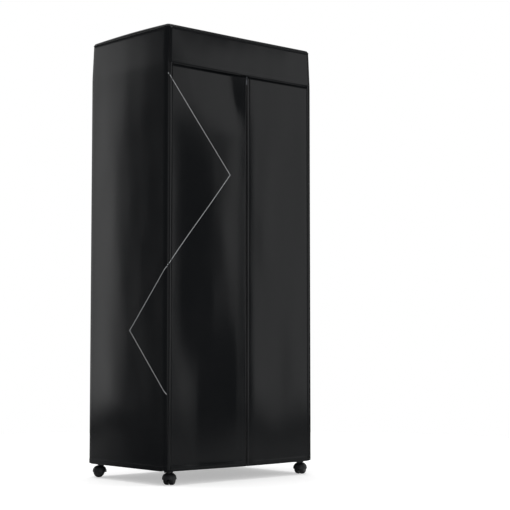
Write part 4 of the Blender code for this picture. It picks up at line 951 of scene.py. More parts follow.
def door_mesh(door, name, depth):
    """One door between its seam and the zip, in a net that is closer where its cloth is sewn."""
    seam, edge, _ = door
    inwards = 1 if seam > edge else -1
    near = [0, 0.0008, 0.0018, 0.004, 0.007, 0.0085, 0.0100, 0.0110, 0.0120, 0.0130, 0.0140, 0.017, 0.021]
    columns = [edge + inwards * step for step in near]
    columns += [seam - inwards * step for step in (0, 0.002, 0.005, 0.012)]
    columns = sorted(columns + spread(*sorted((edge + inwards * 0.020, seam)), 0.008)[2:-2])
    heights = spread(HEM_LINE, CLOSE_ROWS, CLOSE_STEP)[:-1] + spread(CLOSE_ROWS, DOOR_TOP - CLEARANCE, 0.010)
    rows = [[door_point(door, x, z, depth) for x in columns] for z in heights]
    places = [[(x + HALF_WIDTH - CORNER_RADIUS, z) for x in columns] for z in heights]
    return cloth_mesh(net(rows, places), name)


def band_point(x, up):
    """A point of the band over the doors, sewn on at its top and ends and hanging clear below."""
    hang = arch((x + PELMET_REACH) / (2 * PELMET_REACH))
    low = PELMET_LOW - PELMET_SAG * hang
    height = (SHOULDER - low) * up
    loose = min(1.0, 2 * hang) * math.cos(clamp01(up) * math.pi / 2)
    ripple = wrinkle(x, 5, low + height, BAND_WRINKLES, 0.06) * loose
    gap = 0.0018 + (PELMET_STANDOFF - 0.0008) * loose + max(-0.001, ripple)
    gap += hem_relief(height, 0.014, 0.00012)
    narrow = narrowing(low + height)
    return Vector((x * narrow, FRONT_FACE * narrow - gap, low + height + 0.0012 * ripple / BAND_WRINKLES))


def band_mesh():
    columns = spread(-PELMET_REACH, PELMET_REACH, 0.009)
    ups = [0.0, 0.03, 0.06, 0.09, 0.105, 0.12] + spread(0.16, 1.0, 0.07)
    rows = [[band_point(x, up) for x in columns] for up in ups]
    places = [[(x + 0.35, 1.6 + up * 0.13) for x in columns] for up in ups]
    return cloth_mesh(net(rows, places), "cover_pelmet")


def cloth_piece(context, name, mesh, body, node):
    """A piece of the cover's cloth, whose thickness lies inwards of the face that was built."""
    piece = piece_from(name, mesh, "cloth", body, [node])
    solid = piece.modifiers.new("thickness", "SOLIDIFY")
    solid.thickness = context.scene.dryer_cover.cloth_thickness
    solid.offset = -1.0
    solid.use_rim = True
    return piece


class DRYER_OT_cover_shell(bpy.types.Operator):
    """Roof, back, sides and front strips of the cover in one sheet."""

    bl_idname = "dryer.cover_shell"
    bl_label = "Cover"

    def execute(self, context):
        shell = cloth_piece(context, "cloth_cover", shell_mesh(), "cabinet", "cover_shell")
        return {"FINISHED"}


class DRYER_OT_band(bpy.types.Operator):
    """The band of cloth over the doors."""

    bl_idname = "dryer.band"
    bl_label = "Band over the doors"

    def execute(self, context):
        band = cloth_piece(context, "cloth_band", band_mesh(), "cabinet", "cover_pelmet")
        return {"FINISHED"}


class DRYER_OT_doors(bpy.types.Operator):
    """The two cloth doors."""

    bl_idname = "dryer.doors"
    bl_label = "Doors"

    def execute(self, context):
        for side, door in DOORS.items():
            name, node = f"cloth_door_{side}", f"door_{side}"
            mesh = door_mesh(door, name, context.scene.dryer_cover.fold_depth)
            piece = cloth_piece(context, name, mesh, node, node)
        return {"FINISHED"}


def shell_lines():
    """Rows of stitches on the shell: its hem, under the roof's edge, and the strips beside the doors."""
    ring, opening, _ = shell_ring()
    lines = []
    for z in (HEM_STITCHES, SHOULDER - 0.0045):
        lines.append([shell_point(point, normal, z) for point, normal, _ in ring[: opening + 1]])
    for x in (-STRIP_EDGE - 0.0028, STRIP_EDGE + 0.0028):
        point, normal = Vector((x, FRONT_FACE)), Vector((0, -1))
        lines.append([shell_point(point, normal, z) for z in spread(0.062, 1.500, 0.02)])
    return lines


def door_lines(door, depth):
    """Rows of stitches on a door: on either side of the zip's tape, along the seam and along the hem."""
    seam, edge, _ = door
    inwards = 1 if seam > edge else -1
    lines = []
    for x in [edge + inwards * step for step in ZIP_STITCHES] + [seam - inwards * STITCH_INSET]:
        lines.append([door_point(door, x, z, depth) for z in spread(HEM_LINE + 0.004, 1.499, 0.015)])
    across = spread(min(seam, edge) + STITCH_INSET, max(seam, edge) - STITCH_INSET, 0.008)
    return lines + [[door_point(door, x, HEM_STITCHES, depth) for x in across]]


def band_lines():
    """Rows of stitches on the band: its hem, its top seam and its two ends."""
    across = spread(-PELMET_REACH + STITCH_INSET, PELMET_REACH - STITCH_INSET, 0.009)
    lines = [[band_point(x, up) for x in across] for up in (0.092, 0.955)]
    return lines + [[band_point(x, up) for up in spread(0.03, 0.97, 0.08)] for x in (across[0], across[-1])]


def piping_lines(radius):
    """The lines of the sewn-in cord: round the roof's edge, and down both front corners. The cord stands out
    of the seam by about a third of its radius."""
    proud = radius * 0.35
    height = SHOULDER + radius * 0.5
    roof = []
    for point, normal, _ in shell_ring()[0]:
        place = point * narrowing(ROOF_TOP) + normal * proud
        roof.append((place.x, place.y, height))
    corners = []
    heights = spread(HEM_LINE + 0.001, height, 0.05)
    # The cord lies on the rounded corner, most of the way round to its front.
    for side in (-1, 1):
        x = side * (HALF_WIDTH - CORNER_RADIUS * 0.65 + proud * 0.35)
        y = FRONT_FACE + CORNER_RADIUS * 0.065 - proud * 0.94
        corners.append([(x * narrowing(z), y * narrowing(z), z) for z in heights])
    return roof, corners


def seam_backing_mesh(thickness):
    """Narrow strips of tape behind the seams of the doors, which close the gap between the sheets."""
    bm = bmesh.new()
    front = FRONT_FACE + thickness + 0.0004
    foot = HEM_LINE - hem_drop(STRIP_EDGE) + 0.001
    for side in (-1, 1):
        near, far = sorted((side * (STRIP_EDGE - 0.008), side * (STRIP_EDGE + 0.004)))
        added(bm, box_bm((near, front, foot), (far, front + 0.0008, DOOR_TOP)))
    return mesh_from(bm, "seam_backing", smooth=False)


class DRYER_OT_sewing(bpy.types.Operator):
    """Rows of stitches, the tape behind the seams, and the cord round the roof and down the front corners."""

    bl_idname = "dryer.sewing"
    bl_label = "Stitches and piping"

    def execute(self, context):
        settings = context.scene.dryer_cover
        rows = {"stitches_cover": ("cabinet", shell_lines() + band_lines())}
        for side, door in DOORS.items():
            rows[f"stitches_door_{side}"] = (f"door_{side}", door_lines(door, settings.fold_depth))
        sizes = {"Pitch": settings.stitch_pitch, "Size": settings.stitch_size}
        for name, (body, lines) in rows.items():
            mesh = grown(name, lines, "beads_along_line", "thread", sizes)
            piece_from(name, mesh, "thread", body)
        backing = seam_backing_mesh(settings.cloth_thickness)
        piece_from("seam_backing", backing, "tape", "cabinet")
        roof, corners = piping_lines(settings.piping_radius)
        sizes = {"Radius": settings.piping_radius, "Sides": 14}
        for name, lines, closed in (("piping_roof", [roof], True), ("piping_corners", corners, False)):
            mesh = grown(name, lines, "tube_along_line", "binding", sizes, closed)
            piece_from(name, mesh, "binding", "cabinet")
        return {"FINISHED"}


class DRYER_OT_zip(bpy.types.Operator):
    """Zip tapes and teeth on both doors, and the slider with its pull."""

    bl_idname = "dryer.zip"
    bl_label = "Zip"

    def execute(self, context):
        low, high = HEM_LINE - hem_drop(ZIP_MIDDLE) + 0.001, DOOR_TOP - 0.002
        pitch = context.scene.dryer_cover.tooth_pitch
        sizes = {"Pitch": pitch, "Size": TOOTH_SIZE}
        front, back = (FRONT_FACE + depth for depth in TAPE_FACES)
        for side, sign, start in (("left", -1, low), ("right", 1, low + pitch / 2)):
            near, far = sorted(ZIP_MIDDLE + sign * distance for distance in TAPE_EDGES)
            strip = box_bm((near, front, low), (far, back, high))
            uprights = [edge for edge in strip.edges if abs(edge.verts[0].co.z - edge.verts[1].co.z) > 0.1]
            bmesh.ops.subdivide_edges(strip, edges=uprights, cuts=80)
            tape = mesh_from(strip, f"zip_tape_{side}", smooth=False)
            piece_from(f"zip_tape_{side}", tape, "tape", f"door_{side}")
            line = [(ZIP_MIDDLE + sign * TEETH_OUT, FRONT_FACE + TEETH_BACK, z) for z in (start, high)]
            teeth = grown(f"zip_teeth_{side}", [line], "beads_along_line", "teeth", sizes)
            piece_from(f"zip_teeth_{side}", teeth, "teeth", f"door_{side}")
        for node, name in (("zip_slider", "slider_body"), ("zip_pull", "slider_pull")):
            dress(softened_copy(node, name, 0.00025), "zinc", node, [node])
        return {"FINISHED"}


# The frame.


class DRYER_OT_tubes(bpy.types.Operator):
    """Upright posts and cross rails, as one piece of each."""

    bl_idname = "dryer.tubes"
    bl_label = "Posts and rails"

    def execute(self, context):
        settings = context.scene.dryer_frame
        for kind, mark, axis, diameter in (
            ("posts", "post_", 2, settings.post_diameter),
            ("rails", "_rail_", 0, settings.rail_diameter),
        ):
            names = [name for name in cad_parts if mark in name]
            lines = []
            for low, high in map(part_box, names):
                start = [(a + b) / 2 for a, b in zip(low, high)]
                end = list(start)
                start[axis], end[axis] = low[axis], high[axis]
                lines.append([start, end])
            sizes = {"Radius": diameter / 2, "Sides": settings.tube_sides}
            mesh = grown(f"frame_{kind}", lines, "tube_along_line", "chrome", sizes)
            piece_from(f"frame_{kind}", sharpen(mesh, 40), "chrome", "cabinet", names)
        return {"FINISHED"}


class DRYER_OT_side_bars(bpy.types.Operator):
    """Moulded side bars with their sleeves."""

    bl_idname = "dryer.side_bars"
    bl_label = "Side bars"

    def execute(self, context):
        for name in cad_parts:
            if name.startswith("side_bar"):
                piece = softened_copy(name, f"moulded_{name}", context.scene.dryer_frame.bar_bevel)
                dress(piece, "nylon", "cabinet", [name])
        return {"FINISHED"}


# The casters.


def squared(share_out, squareness):
    """A coordinate on a unit ball, pushed out towards the corners of a rounded box."""
    return math.copysign(abs(share_out) ** (2 / squareness), share_out)


def caster_stand(corner):
    """Where a caster stands: its stem is turned about the middle of its post."""
    x = -POST_X if "left" in corner else POST_X
    y = -POST_Y if "front" in corner else POST_Y
    return Matrix.Translation((x, y, 0)) @ Matrix.Rotation(math.radians(CASTER_SWIVEL[corner]), 4, "Z")


def web_outline(reach_y, reach_z):
    """Outline of the web between the wheels: the hood's arch, and the half round that holds the axle."""
    outline = []
    for angle in spread(0, math.pi, math.pi / 24):
        y = CASTER_TRAIL - HOOD_SHIFT + reach_y * squared(math.cos(angle), HOOD_SQUARENESS)
        outline.append((y, AXLE_HEIGHT + reach_z * squared(math.sin(angle), HOOD_SQUARENESS)))
    for angle in spread(math.pi, 2 * math.pi, math.pi / 12):
        y, z, _ = around(AXLE_RADIUS, angle)
        outline.append((CASTER_TRAIL + y, AXLE_HEIGHT + z))
    return outline


def hood_mesh(corner, wall):
    """Domed hood over both wheels, with the web between them, the collar and the stem."""
    middle = (0, CASTER_TRAIL - HOOD_SHIFT, AXLE_HEIGHT)
    bm = bmesh.new()
    domes = []
    for inset in (0.0, wall):
        reach = [size - inset for size in HOOD_REACH]
        dome = []
        for tilt in spread(0, math.pi / 2, math.pi / 28)[:-1]:
            units = [around(math.cos(tilt), turn, math.sin(tilt)) for turn in full_turn(56)]
            out = [[squared(value, HOOD_SQUARENESS) for value in unit] for unit in units]
            dome.append([bm.verts.new([m + r * o for m, r, o in zip(middle, reach, place)]) for place in out])
        domes.append(dome + [[bm.verts.new((0, middle[1], AXLE_HEIGHT + reach[2]))]])
    skin(bm, domes[0][::-1] + domes[1])
    web = bmesh.new()
    outline = web_outline(HOOD_REACH[1] - wall / 2, HOOD_REACH[2] - wall / 2)
    sides = [[web.verts.new((x, y, z)) for y, z in outline] for x in (-WEB_HALF, WEB_HALF)]
    for side in sides:
        web.faces.new(side)
    added(bm, skin(web, sides))
    stem = [(0, 0.0669), (0.005, 0.0669), (0.005, 0.0449), (0.0065, 0.0449), (0.0065, 0.0406), (0, 0.0406)]
    added(bm, turned(rounded(stem, 0.0006), 32))
    return sharpen(mesh_from(placed(bm, caster_stand(corner)), f"caster_hood_{corner}"), 35)


def wheels_mesh(corner, settings):
    """Two wheels on one axle, turned as one piece: domed faces with a shallow dish, and narrow treads."""
    radius, inner, half = settings.wheel_diameter / 2, settings.wheel_gap / 2, settings.pair_width / 2
    profile = [(0, half - 0.0001), (0.0035, half - 0.0001), (0.0042, half - 0.0006), (0.0050, half - 0.0001)]
    for angle in spread(0, math.radians(68), math.radians(8.5))[1:]:
        edge = radius * squared(math.sin(angle), WHEEL_SQUARENESS)
        profile.append((edge, half * squared(math.cos(angle), WHEEL_SQUARENESS)))
    profile.sort(key=lambda place: (place[0], -place[1]))
    profile += [(radius, inner + 0.0055), (radius, inner + 0.0006), (radius - 0.0006, inner)]
    profile += [(0.0120, inner), (0.0115, inner + 0.0008), (0.0072, inner + 0.0008), (0.0068, inner)]
    profile.append((0.003, inner))
    bm = turned(profile + [(r, -out) for r, out in reversed(profile)], 72)
    lying = Matrix.Translation((0, CASTER_TRAIL, radius)) @ Matrix.Rotation(math.pi / 2, 4, "Y")
    return sharpen(mesh_from(placed(bm, caster_stand(corner) @ lying), f"caster_wheels_{corner}"), 40)


class DRYER_OT_casters(bpy.types.Operator):
    """Four twin-wheel casters under domed hoods."""

    bl_idname = "dryer.casters"
    bl_label = "Casters"

    def execute(self, context):
        settings = context.scene.dryer_casters
        for corner in CORNERS:
            hood, nodes = hood_mesh(corner, settings.hood_wall), [f"caster_housing_{corner}"]
            piece_from(f"caster_hood_{corner}", hood, "nylon", f"caster_{corner}", nodes)
            wheels, nodes = wheels_mesh(corner, settings), [f"caster_wheels_{corner}"]
            piece_from(f"twin_wheels_{corner}", wheels, "wheel", f"wheels_{corner}", nodes)
        return {"FINISHED"}


# The heater.


def at_heater(bm, name, degrees=35):
    """Lifts a piece onto the bottom rails and makes its mesh."""
    return sharpen(mesh_from(placed(bm, Matrix.Translation((0, 0, HEATER_FLOOR))), name), degrees)


def base_mesh(steps):
    """Flat base with radial intake slots, a rolled rim, and four clips that straddle the bottom rails."""
    bm = bmesh.new()
    rings = [[bm.verts.new((0, 0, 0))]]
    for radius in (0.018, 0.030, 0.041, 0.049, 0.058, 0.067, 0.075, 0.090, HEATER_RADIUS - 0.0072):
        rings.append([bm.verts.new(around(radius, turn)) for turn in full_turn(144)])
    skin(bm, rings, skip=lambda row, k: 3 <= row <= 6 and k % 12 in (5, 6))
    bmesh.ops.solidify(bm, geom=bm.faces[:], thickness=-BASE_PLATE)
    placed(bm, Matrix.Translation((0, 0, -min(vert.co.z for vert in bm.verts))))
    bmesh.ops.recalc_face_normals(bm, faces=bm.faces[:])
    lip, step = HEATER_RADIUS - 0.0027, BASE_RIM + 0.0022
    rim = [(0.0990, 0), (HEATER_RADIUS - 0.003, 0), (HEATER_RADIUS, 0.003), (HEATER_RADIUS, BASE_RIM)]
    rim += [(lip, BASE_RIM), (lip, step), (lip - 0.0022, step), (0.1005, 0.0034), (0.0990, 0.003)]
    added(bm, turned(rounded(rim, 0.0011, 3, closed=True), steps, closed=True))
    foot, top, half = -CLEARANCE - RAIL_RADIUS - 0.0065, 0.0012, 0.0065
    for y in (-0.102, 0.102):
        for x in (-0.018, 0.018):
            for side in (-1, 1):
                near, far = sorted((y + side * 0.0078, y + side * 0.0103))
                added(bm, soft_box((x - half, near, foot), (x + half, far, top), 0.0009))
            added(bm, soft_box((x - half, y - 0.0100, -0.0001), (x + half, y + 0.0100, top), 0.0004))
    return at_heater(bm, "heater_base")


def housing_mesh(steps):
    """Turned shell: upright wall with a fine part line, sloping shoulder, flat crown, lip and lamp bridge."""
    bends = [(0.0762, HOUSING_TOP), (0.0958, 0.0984), (HEATER_RADIUS, 0.0760)]
    bend_radius, corner_radius = 0.011, 0.0005
    inner, groove = HEATER_RADIUS - HOUSING_WALL, HEATER_RADIUS - 0.0005
    outline = [(0.0500, 0.1138), (0.0500, 0.1171), (0.0535, 0.1171), (0.0542, HOUSING_TOP), *bends]
    outline += [(HEATER_RADIUS, 0.0708), (groove, 0.0705), (groove, 0.0699), (HEATER_RADIUS, 0.0696)]
    outline += [(HEATER_RADIUS, HOUSING_FOOT), (inner, HOUSING_FOOT), (inner, 0.0752), (0.0935, 0.0965)]
    outline.append((0.0748, 0.1138))
    shape = []
    for i, point in enumerate(outline):
        corner = [outline[i - 1], point, outline[(i + 1) % len(outline)]]
        shape += rounded(corner, bend_radius if point in bends else corner_radius, 6)[1:-1]
    bm = turned(shape, steps, closed=True)
    added(bm, soft_box((-0.0524, -0.008, 0.1115), (0.0524, 0.008, 0.1151), 0.0008))
    return at_heater(bm, "heater_housing", 40)


def cage_lines(columns):
    """Upright bars and hoops of the waisted cage, and the two thicker rings that hold them."""
    foot, waist, head = 0.058, 0.047, 0.0495

    def place(turn, up):
        radius = foot * (1 - up) ** 2 + 2 * (2 * waist - (foot + head) / 2) * up * (1 - up) + head * up**2
        return around(radius, turn, HEATER_FLOOR + CAGE_LOW + (CAGE_HIGH - CAGE_LOW) * up)

    ups = spread(0, 1, 0.1)
    uprights = [[place(turn, up) for up in ups] for turn in full_turn(columns)]
    hoops = [[place(turn, up) for turn in full_turn(96)] for up in ups]
    return uprights, hoops[1:-1], [hoops[0], hoops[-1]]


def disc_mesh(steps):
    """Thin round plate with a rolled edge and a low hollow dome."""
    low, top = 0.1669, 0.1691
    crown = []
    for angle in spread(0, math.pi / 2, math.pi / 28):
        crown.append((0.040 * math.sin(angle), top + 0.0105 * math.cos(angle) ** 2))
    hollow = [(radius * 0.945, height - (top - low)) for radius, height in reversed(crown)]
    ridge = [(0.0595, top), (0.0602, top - 0.0004), (0.0612, top - 0.0004), (0.0619, top)]
    brim = [(0.0704, top), (0.0712, top - 0.0003), (0.0715, (top + low) / 2), (0.0712, low + 0.0003)]
    brim.append((0.0704, low))
    return at_heater(turned(crown + ridge + brim + hollow, steps), "deflector_disc", 50)


def panel_mesh():
    """Arch-topped panel wrapped round the housing, with soft edges and a well for each button."""
    upright = spread(HOUSING_FOOT, PANEL_MIDDLE, 0.003)
    outline = [(x, HOUSING_FOOT) for x in spread(-PANEL_HALF, PANEL_HALF, 0.003)]
    outline += [(PANEL_HALF, z) for z in upright[1:]]
    for x, z, _ in [around(PANEL_HALF, turn) for turn in spread(0, math.pi, 0.08)[1:]]:
        outline.append((x, PANEL_MIDDLE + z))
    outline += [(-PANEL_HALF, z) for z in reversed(upright[1:-1])]
    heart = PANEL_MIDDLE - 0.003
    bm = bmesh.new()
    rings = [[bm.verts.new((0, -PANEL_BACK, heart))]]
    shells = [(0.25, PANEL_BACK), (0.55, PANEL_BACK), (0.8, PANEL_BACK), (1.0, PANEL_BACK)]
    shells += [(1.0, PANEL_FRONT - 0.0012), (0.988, PANEL_FRONT - 0.0004)]
    shells += [(size, PANEL_FRONT) for size in (0.968, 0.9, 0.75, 0.55, 0.35, 0.15)]
    for size, radius in shells:
        spots = [(x * size, heart + (z - heart) * size) for x, z in outline]
        rings.append([bm.verts.new((x, -math.sqrt(radius**2 - x**2), z)) for x, z in spots])
    rings.append([bm.verts.new((0, -PANEL_FRONT, heart))])
    skin(bm, rings)
    bmesh.ops.triangulate(bm, faces=bm.faces[:])
    wells = bmesh.new()
    for x in (-BUTTON_SIDE, BUTTON_SIDE):
        well = turned([(0, 0.1), (WELL_RADIUS, 0.1), (WELL_RADIUS, 0.13), (0, 0.13)], 48)
        outwards = Matrix.Translation((x, 0, BUTTON_HEIGHT)) @ Matrix.Rotation(math.pi / 2, 4, "X")
        added(wells, placed(well, outwards))
    panel = cut(bm, wells)
    bmesh.ops.triangulate(panel, faces=panel.faces[:], ngon_method="EAR_CLIP")
    return at_heater(panel, "control_panel", 40)


def button_place(x):
    """Where a button's back is, and the way it points: straight out to the front."""
    thickness, proud = 0.0038, 0.0014
    y = -math.sqrt(PANEL_FRONT**2 - x * x) - proud + thickness
    return Matrix.Translation((x, y, BUTTON_HEIGHT)) @ Matrix.Rotation(math.pi / 2, 4, "X")


def button_mesh(name, x):
    """A push button with a softly dished face."""
    profile = [(0, 0), (BUTTON_RADIUS, 0), (BUTTON_RADIUS, 0.0030), (0.0044, 0.0037), (0.0036, 0.0038)]
    profile += [(0.0022, 0.00365), (0, 0.0036)]
    bm = turned(rounded(profile, 0.0004, 3), 48)
    return at_heater(placed(bm, button_place(x)), name)


def mark_lines(x, kind):
    """Lines of a button's mark: an open ring with a bar for power, a ring with two hands for the timer."""
    if kind == "power":
        ends, bars = (-235, 55), [[(0, -0.0002), (0, 0.0022)]]
    else:
        ends, bars = (-270, 88), [[(0, 0), (0, 0.0013)], [(0, 0), (0.0011, 0)]]
    ring_radius, face = 0.0021, 0.00372
    ring = [around(ring_radius, turn)[:2] for turn in spread(*map(math.radians, ends), 0.15)]
    place = Matrix.Translation((0, 0, HEATER_FLOOR)) @ button_place(x)
    return [[place @ Vector((u, v, face)) for u, v in line] for line in [ring] + bars]


def motor_mesh():
    """Motor can on its flange, with a bearing boss and the shaft up through the fan."""
    profile = [(0, MOTOR_FLOOR), (0.0270, MOTOR_FLOOR), (0.0270, 0.0063), (0.0240, 0.0063), (0.0240, 0.0220)]
    profile += [(0.0235, 0.0224), (0.0235, 0.0232), (0.0240, 0.0236), (0.0240, 0.0293), (0.0075, 0.0293)]
    profile += [(0.0075, 0.0308), (0.0025, 0.0308), (0.0025, 0.0473), (0, 0.0473)]
    return at_heater(turned(rounded(profile, 0.0008, 3), 64), "fan_motor")


def shroud_mesh(steps):
    """Ring round the fan with an inward flange on top, and its four legs."""
    mouth, outer = 0.044, 0.074
    inner, flange = outer - SHROUD_WALL, SHROUD_HIGH - SHROUD_WALL
    profile = [(mouth, SHROUD_HIGH), (outer, SHROUD_HIGH), (outer, SHROUD_LOW), (inner, SHROUD_LOW)]
    profile += [(inner, flange), (mouth, flange)]
    bm = turned(rounded(profile, 0.0006, 2, closed=True), steps, closed=True)
    for turn in full_turn(4):
        leg = soft_box((0.0733, -0.004, MOTOR_FLOOR), (0.0768, 0.004, SHROUD_LOW + 0.008), 0.0006)
        added(bm, placed(leg, Matrix.Rotation(turn + math.pi / 4, 4, "Z")))
    return at_heater(bm, "fan_shroud")


def element_frame_mesh():
    """Moulded frame of the heating element, with the bar between its two packs of fins."""
    bm = bmesh.new()
    # Corners of the two sides, the two ends and the bar.
    for start, end in (
        ((-0.048, -0.031), (-0.0445, 0.031)),
        ((0.0445, -0.031), (0.048, 0.031)),
        ((-0.0478, -0.031), (0.0478, -0.0275)),
        ((-0.0478, 0.0275), (0.0478, 0.031)),
        ((-0.0478, -0.00175), (0.0478, 0.00175)),
    ):
        added(bm, soft_box((*start, ELEMENT_LOW), (*end, ELEMENT_HIGH), 0.0005))
    return at_heater(bm, "element_frame")


def lamp_line():
    """The line that the lamp's bent tube follows."""
    foot = HEATER_FLOOR + LAMP_LOW
    shoulder = foot + LAMP_HEIGHT - LAMP_BEND - LAMP_RADIUS
    legs = spread(foot + 0.0062, shoulder, 0.004)[:-1]
    bend = [around(LAMP_BEND, turn) for turn in spread(0, math.pi, 0.13)]
    line = [(LAMP_BEND, 0, z) for z in legs] + [(x, 0, shoulder + up) for x, up, _ in bend]
    return line + [(-LAMP_BEND, 0, z) for z in reversed(legs)]


def gland_mesh():
    """Ribbed cord gland with its bore open."""
    profile = [(0.0038, 0), (0.0090, 0), (0.0090, 0.0032), (0.0071, 0.0032)]
    for k in range(4):
        up = 0.0028 * k
        profile += [(0.0071 - 0.0002 * k, 0.0044 + up), (0.0062, 0.0048 + up), (0.0062, 0.0058 + up)]
    profile += [(0.0060, 0.0160), (0.0038, 0.0160)]
    bm = turned(rounded(profile, 0.0003, 2, closed=True), 48, closed=True)
    behind = Matrix.Translation((0, HEATER_RADIUS + CLEARANCE, GLAND_HEIGHT))
    return at_heater(placed(bm, behind @ Matrix.Rotation(-math.pi / 2, 4, "X")), "cord_gland")


class DRYER_OT_heater(bpy.types.Operator):
    """Heater housing with its base, cage, disc, panel and buttons."""

    bl_idname = "dryer.heater"
    bl_label = "Heater"

    def execute(self, context):
        settings = context.scene.dryer_heater
        steps = settings.turned_steps
        for name, mesh, finish, slot, node in (
            ("heater_foot", base_mesh(steps), "base", "black_nylon", "heater_base"),
            ("heater_shell", housing_mesh(steps), "white", "white_plastic", "heater_housing"),
            ("heater_disc", disc_mesh(steps), "base", "black_nylon", "deflector_disc"),
            ("heater_panel", panel_mesh(), "panel", "gloss_black", "control_panel"),
            ("heater_gland", gland_mesh(), "nylon", "black_nylon", "cord_gland"),
        ):
            piece_from(name, mesh, finish, "heater", [node])
        cage = bmesh.new()
        # Radius of the upright bars, the hoops and the thicker rings, and whether their lines are closed.
        bars = ((0.0006, False), (0.0005, True), (0.0011, True))
        for lines, (radius, closed) in zip(cage_lines(settings.cage_columns), bars):
            made = grown("cage", lines, "tube_along_line", "base", {"Radius": radius, "Sides": 8}, closed)
            cage.from_mesh(made)
            bpy.data.meshes.remove(made)
        mesh = mesh_from(cage, "outlet_cage")
        piece_from("heater_cage", mesh, "base", "heater", ["outlet_cage"])
        for kind, x in (("power", -BUTTON_SIDE), ("timer", BUTTON_SIDE)):
            node = f"{kind}_button"
            piece_from(f"{kind}_cap", button_mesh(f"{kind}_cap", x), "button", node, [node])
            sizes = {"Radius": 0.00022, "Sides": 8}
            mark = grown(f"{kind}_mark", mark_lines(x, kind), "tube_along_line", "ink", sizes)
            piece_from(f"{kind}_mark", mark, "ink", node)
        return {"FINISHED"}


class DRYER_OT_heater_inside(bpy.types.Operator):
    """What is inside the heater: motor, fan, shroud, heating element, board and lamp."""

    bl_idname = "dryer.heater_inside"
    bl_label = "Inside of the heater"

    def execute(self, context):
        settings = context.scene.dryer_heater
        piece_from("motor_can", motor_mesh(), "motor", "heater", ["fan_motor"])
        ring = shroud_mesh(settings.turned_steps)
        piece_from("fan_ring", ring, "base", "heater", ["fan_shroud"])
        fan = softened_copy("fan_impeller", "fan_wheel", 0.0003)
        dress(fan, "base", "fan", ["fan_impeller"])
        board = softened_copy("control_board", "switch_board", 0.0002)
        dress(board, "board", "heater", ["control_board"])
        casing = element_frame_mesh()
        piece_from("element_frame", casing, "nylon", "heater", ["heating_element"])
        middle = HEATER_FLOOR + (ELEMENT_LOW + ELEMENT_HIGH) / 2
        reach, side = 0.0440, 0.0146
        rows = [[(-reach, y, middle), (reach, y, middle)] for y in (-side, side)]
        sizes = {"Pitch": settings.fin_pitch, "Size": (0.0004, 0.0256, 0.0166)}
        fins = grown("fins", rows, "plates_along_line", "fins", sizes, smooth=False)
        piece_from("element_fins", fins, "fins", "heater")
        sizes = {"Radius": LAMP_RADIUS, "Sides": 28}
        lamp = sharpen(grown("lamp", [lamp_line()], "tube_along_line", "lamp", sizes), 50)
        piece_from("lamp_tube", lamp, "lamp", "heater", ["uv_lamp"])
        long, wide = LAMP_FOOT_HALF
        foot = soft_box((-long, -wide, LAMP_LOW), (long, wide, LAMP_FOOT_TOP), 0.0008)
        piece_from("lamp_foot", at_heater(foot, "lamp_foot"), "lamp_foot", "heater")
        return {"FINISHED"}


# The stage.

# Each softbox's setting, its place, its width and height, and the point that it faces.
LAMPS = (
    ("front_lamp", (3.06, -3.036, 1.48), (1.05, 2.92), (0.1, 0, 1.0)),
    ("side_lamp", (-2.585, 3.973, 1.48), (1.1, 2.92), (-0.36, 0.1, 1.0)),
    ("upper_lamp", (2.44, -3.64, 2.5), (0.7, 0.95), (-0.2, -0.23, 1.5)),
    ("corner_lamp", (-2.40, -5.30, 1.48), (4.0, 2.92), (-0.35, -0.23, 1.0)),
    ("top_lamp", (0.1, 0.4, 4.4), (3.0, 3.0), (0, 0, 0)),
)


def place_lamp(name, place, size, target, watts):
    data = bpy.data.lights.new(name, "AREA")
    data.shape = "RECTANGLE"
    data.size, data.size_y = size
    data.energy = watts
    lamp = linked(name, data)
    lamp.location = place
    lamp.rotation_euler = (Vector(target) - Vector(place)).to_track_quat("-Z", "Y").to_euler()
    lamp.visible_camera = False


def make_floor(settings):
    """A round pale floor, whose white the camera sees. Left of the dryer the floor has a painted shade that
    reflected rays alone see, which darkens what the dryer's side mirrors of the floor."""
    bm = bmesh.new()
    bmesh.ops.create_circle(bm, cap_ends=True, segments=96, radius=settings.floor_radius)
    floor = linked("floor", mesh_from(bm, "floor", smooth=False))
    # dark is the colour of the painted shade that reflections see left of the dryer.
    pale, dark = "#f2f2f2", "#5a5a5a"
    finish, tree, shader, place = new_finish("painted_studio_floor", pale, 0.85, gloss=0.0)
    path = add_node(tree, "ShaderNodeLightPath").outputs
    links = {0: path["Is Camera Ray"], 1: settings.floor_lift}
    lift = add_node(tree, "ShaderNodeMath", links, operation="MULTIPLY")
    shader.inputs["Emission Color"].default_value = (1, 1, 1, 1)
    tree.links.new(lift.outputs[0], shader.inputs["Emission Strength"])
    left = add_node(tree, "ShaderNodeSeparateXYZ", {"Vector": place}).outputs["X"]
    beside = add_node(tree, "ShaderNodeMath", {0: left, 1: FLOOR_SHADE_SIDE}, operation="LESS_THAN")
    across = add_node(tree, "ShaderNodeVectorMath", {0: place, 1: FLOOR_SHADE_ACROSS}, operation="DOT_PRODUCT")
    ends = {"From Min": FLOOR_SHADE_EDGE + FLOOR_SHADE_SOFTNESS, "From Max": FLOOR_SHADE_EDGE - FLOOR_SHADE_SOFTNESS}
    before = add_node(tree, "ShaderNodeMapRange", {"Value": across.outputs["Value"], **ends})
    links = {0: beside.outputs[0], 1: before.outputs["Result"]}
    shaded = add_node(tree, "ShaderNodeMath", links, operation="MULTIPLY")
    # Painted shade: the floor takes the dark colour here for reflected rays alone.
    links = {0: shaded.outputs[0], 1: path["Is Glossy Ray"]}
    mirrored_floor_shade = add_node(tree, "ShaderNodeMath", links, operation="MULTIPLY")
    colours = {"Factor": mirrored_floor_shade.outputs[0], 6: linear(pale), 7: linear(dark)}
    colour = add_node(tree, "ShaderNodeMix", colours, data_type="RGBA")
    tree.links.new(colour.outputs[2], shader.inputs["Base Color"])
    floor.data.materials.append(finish)


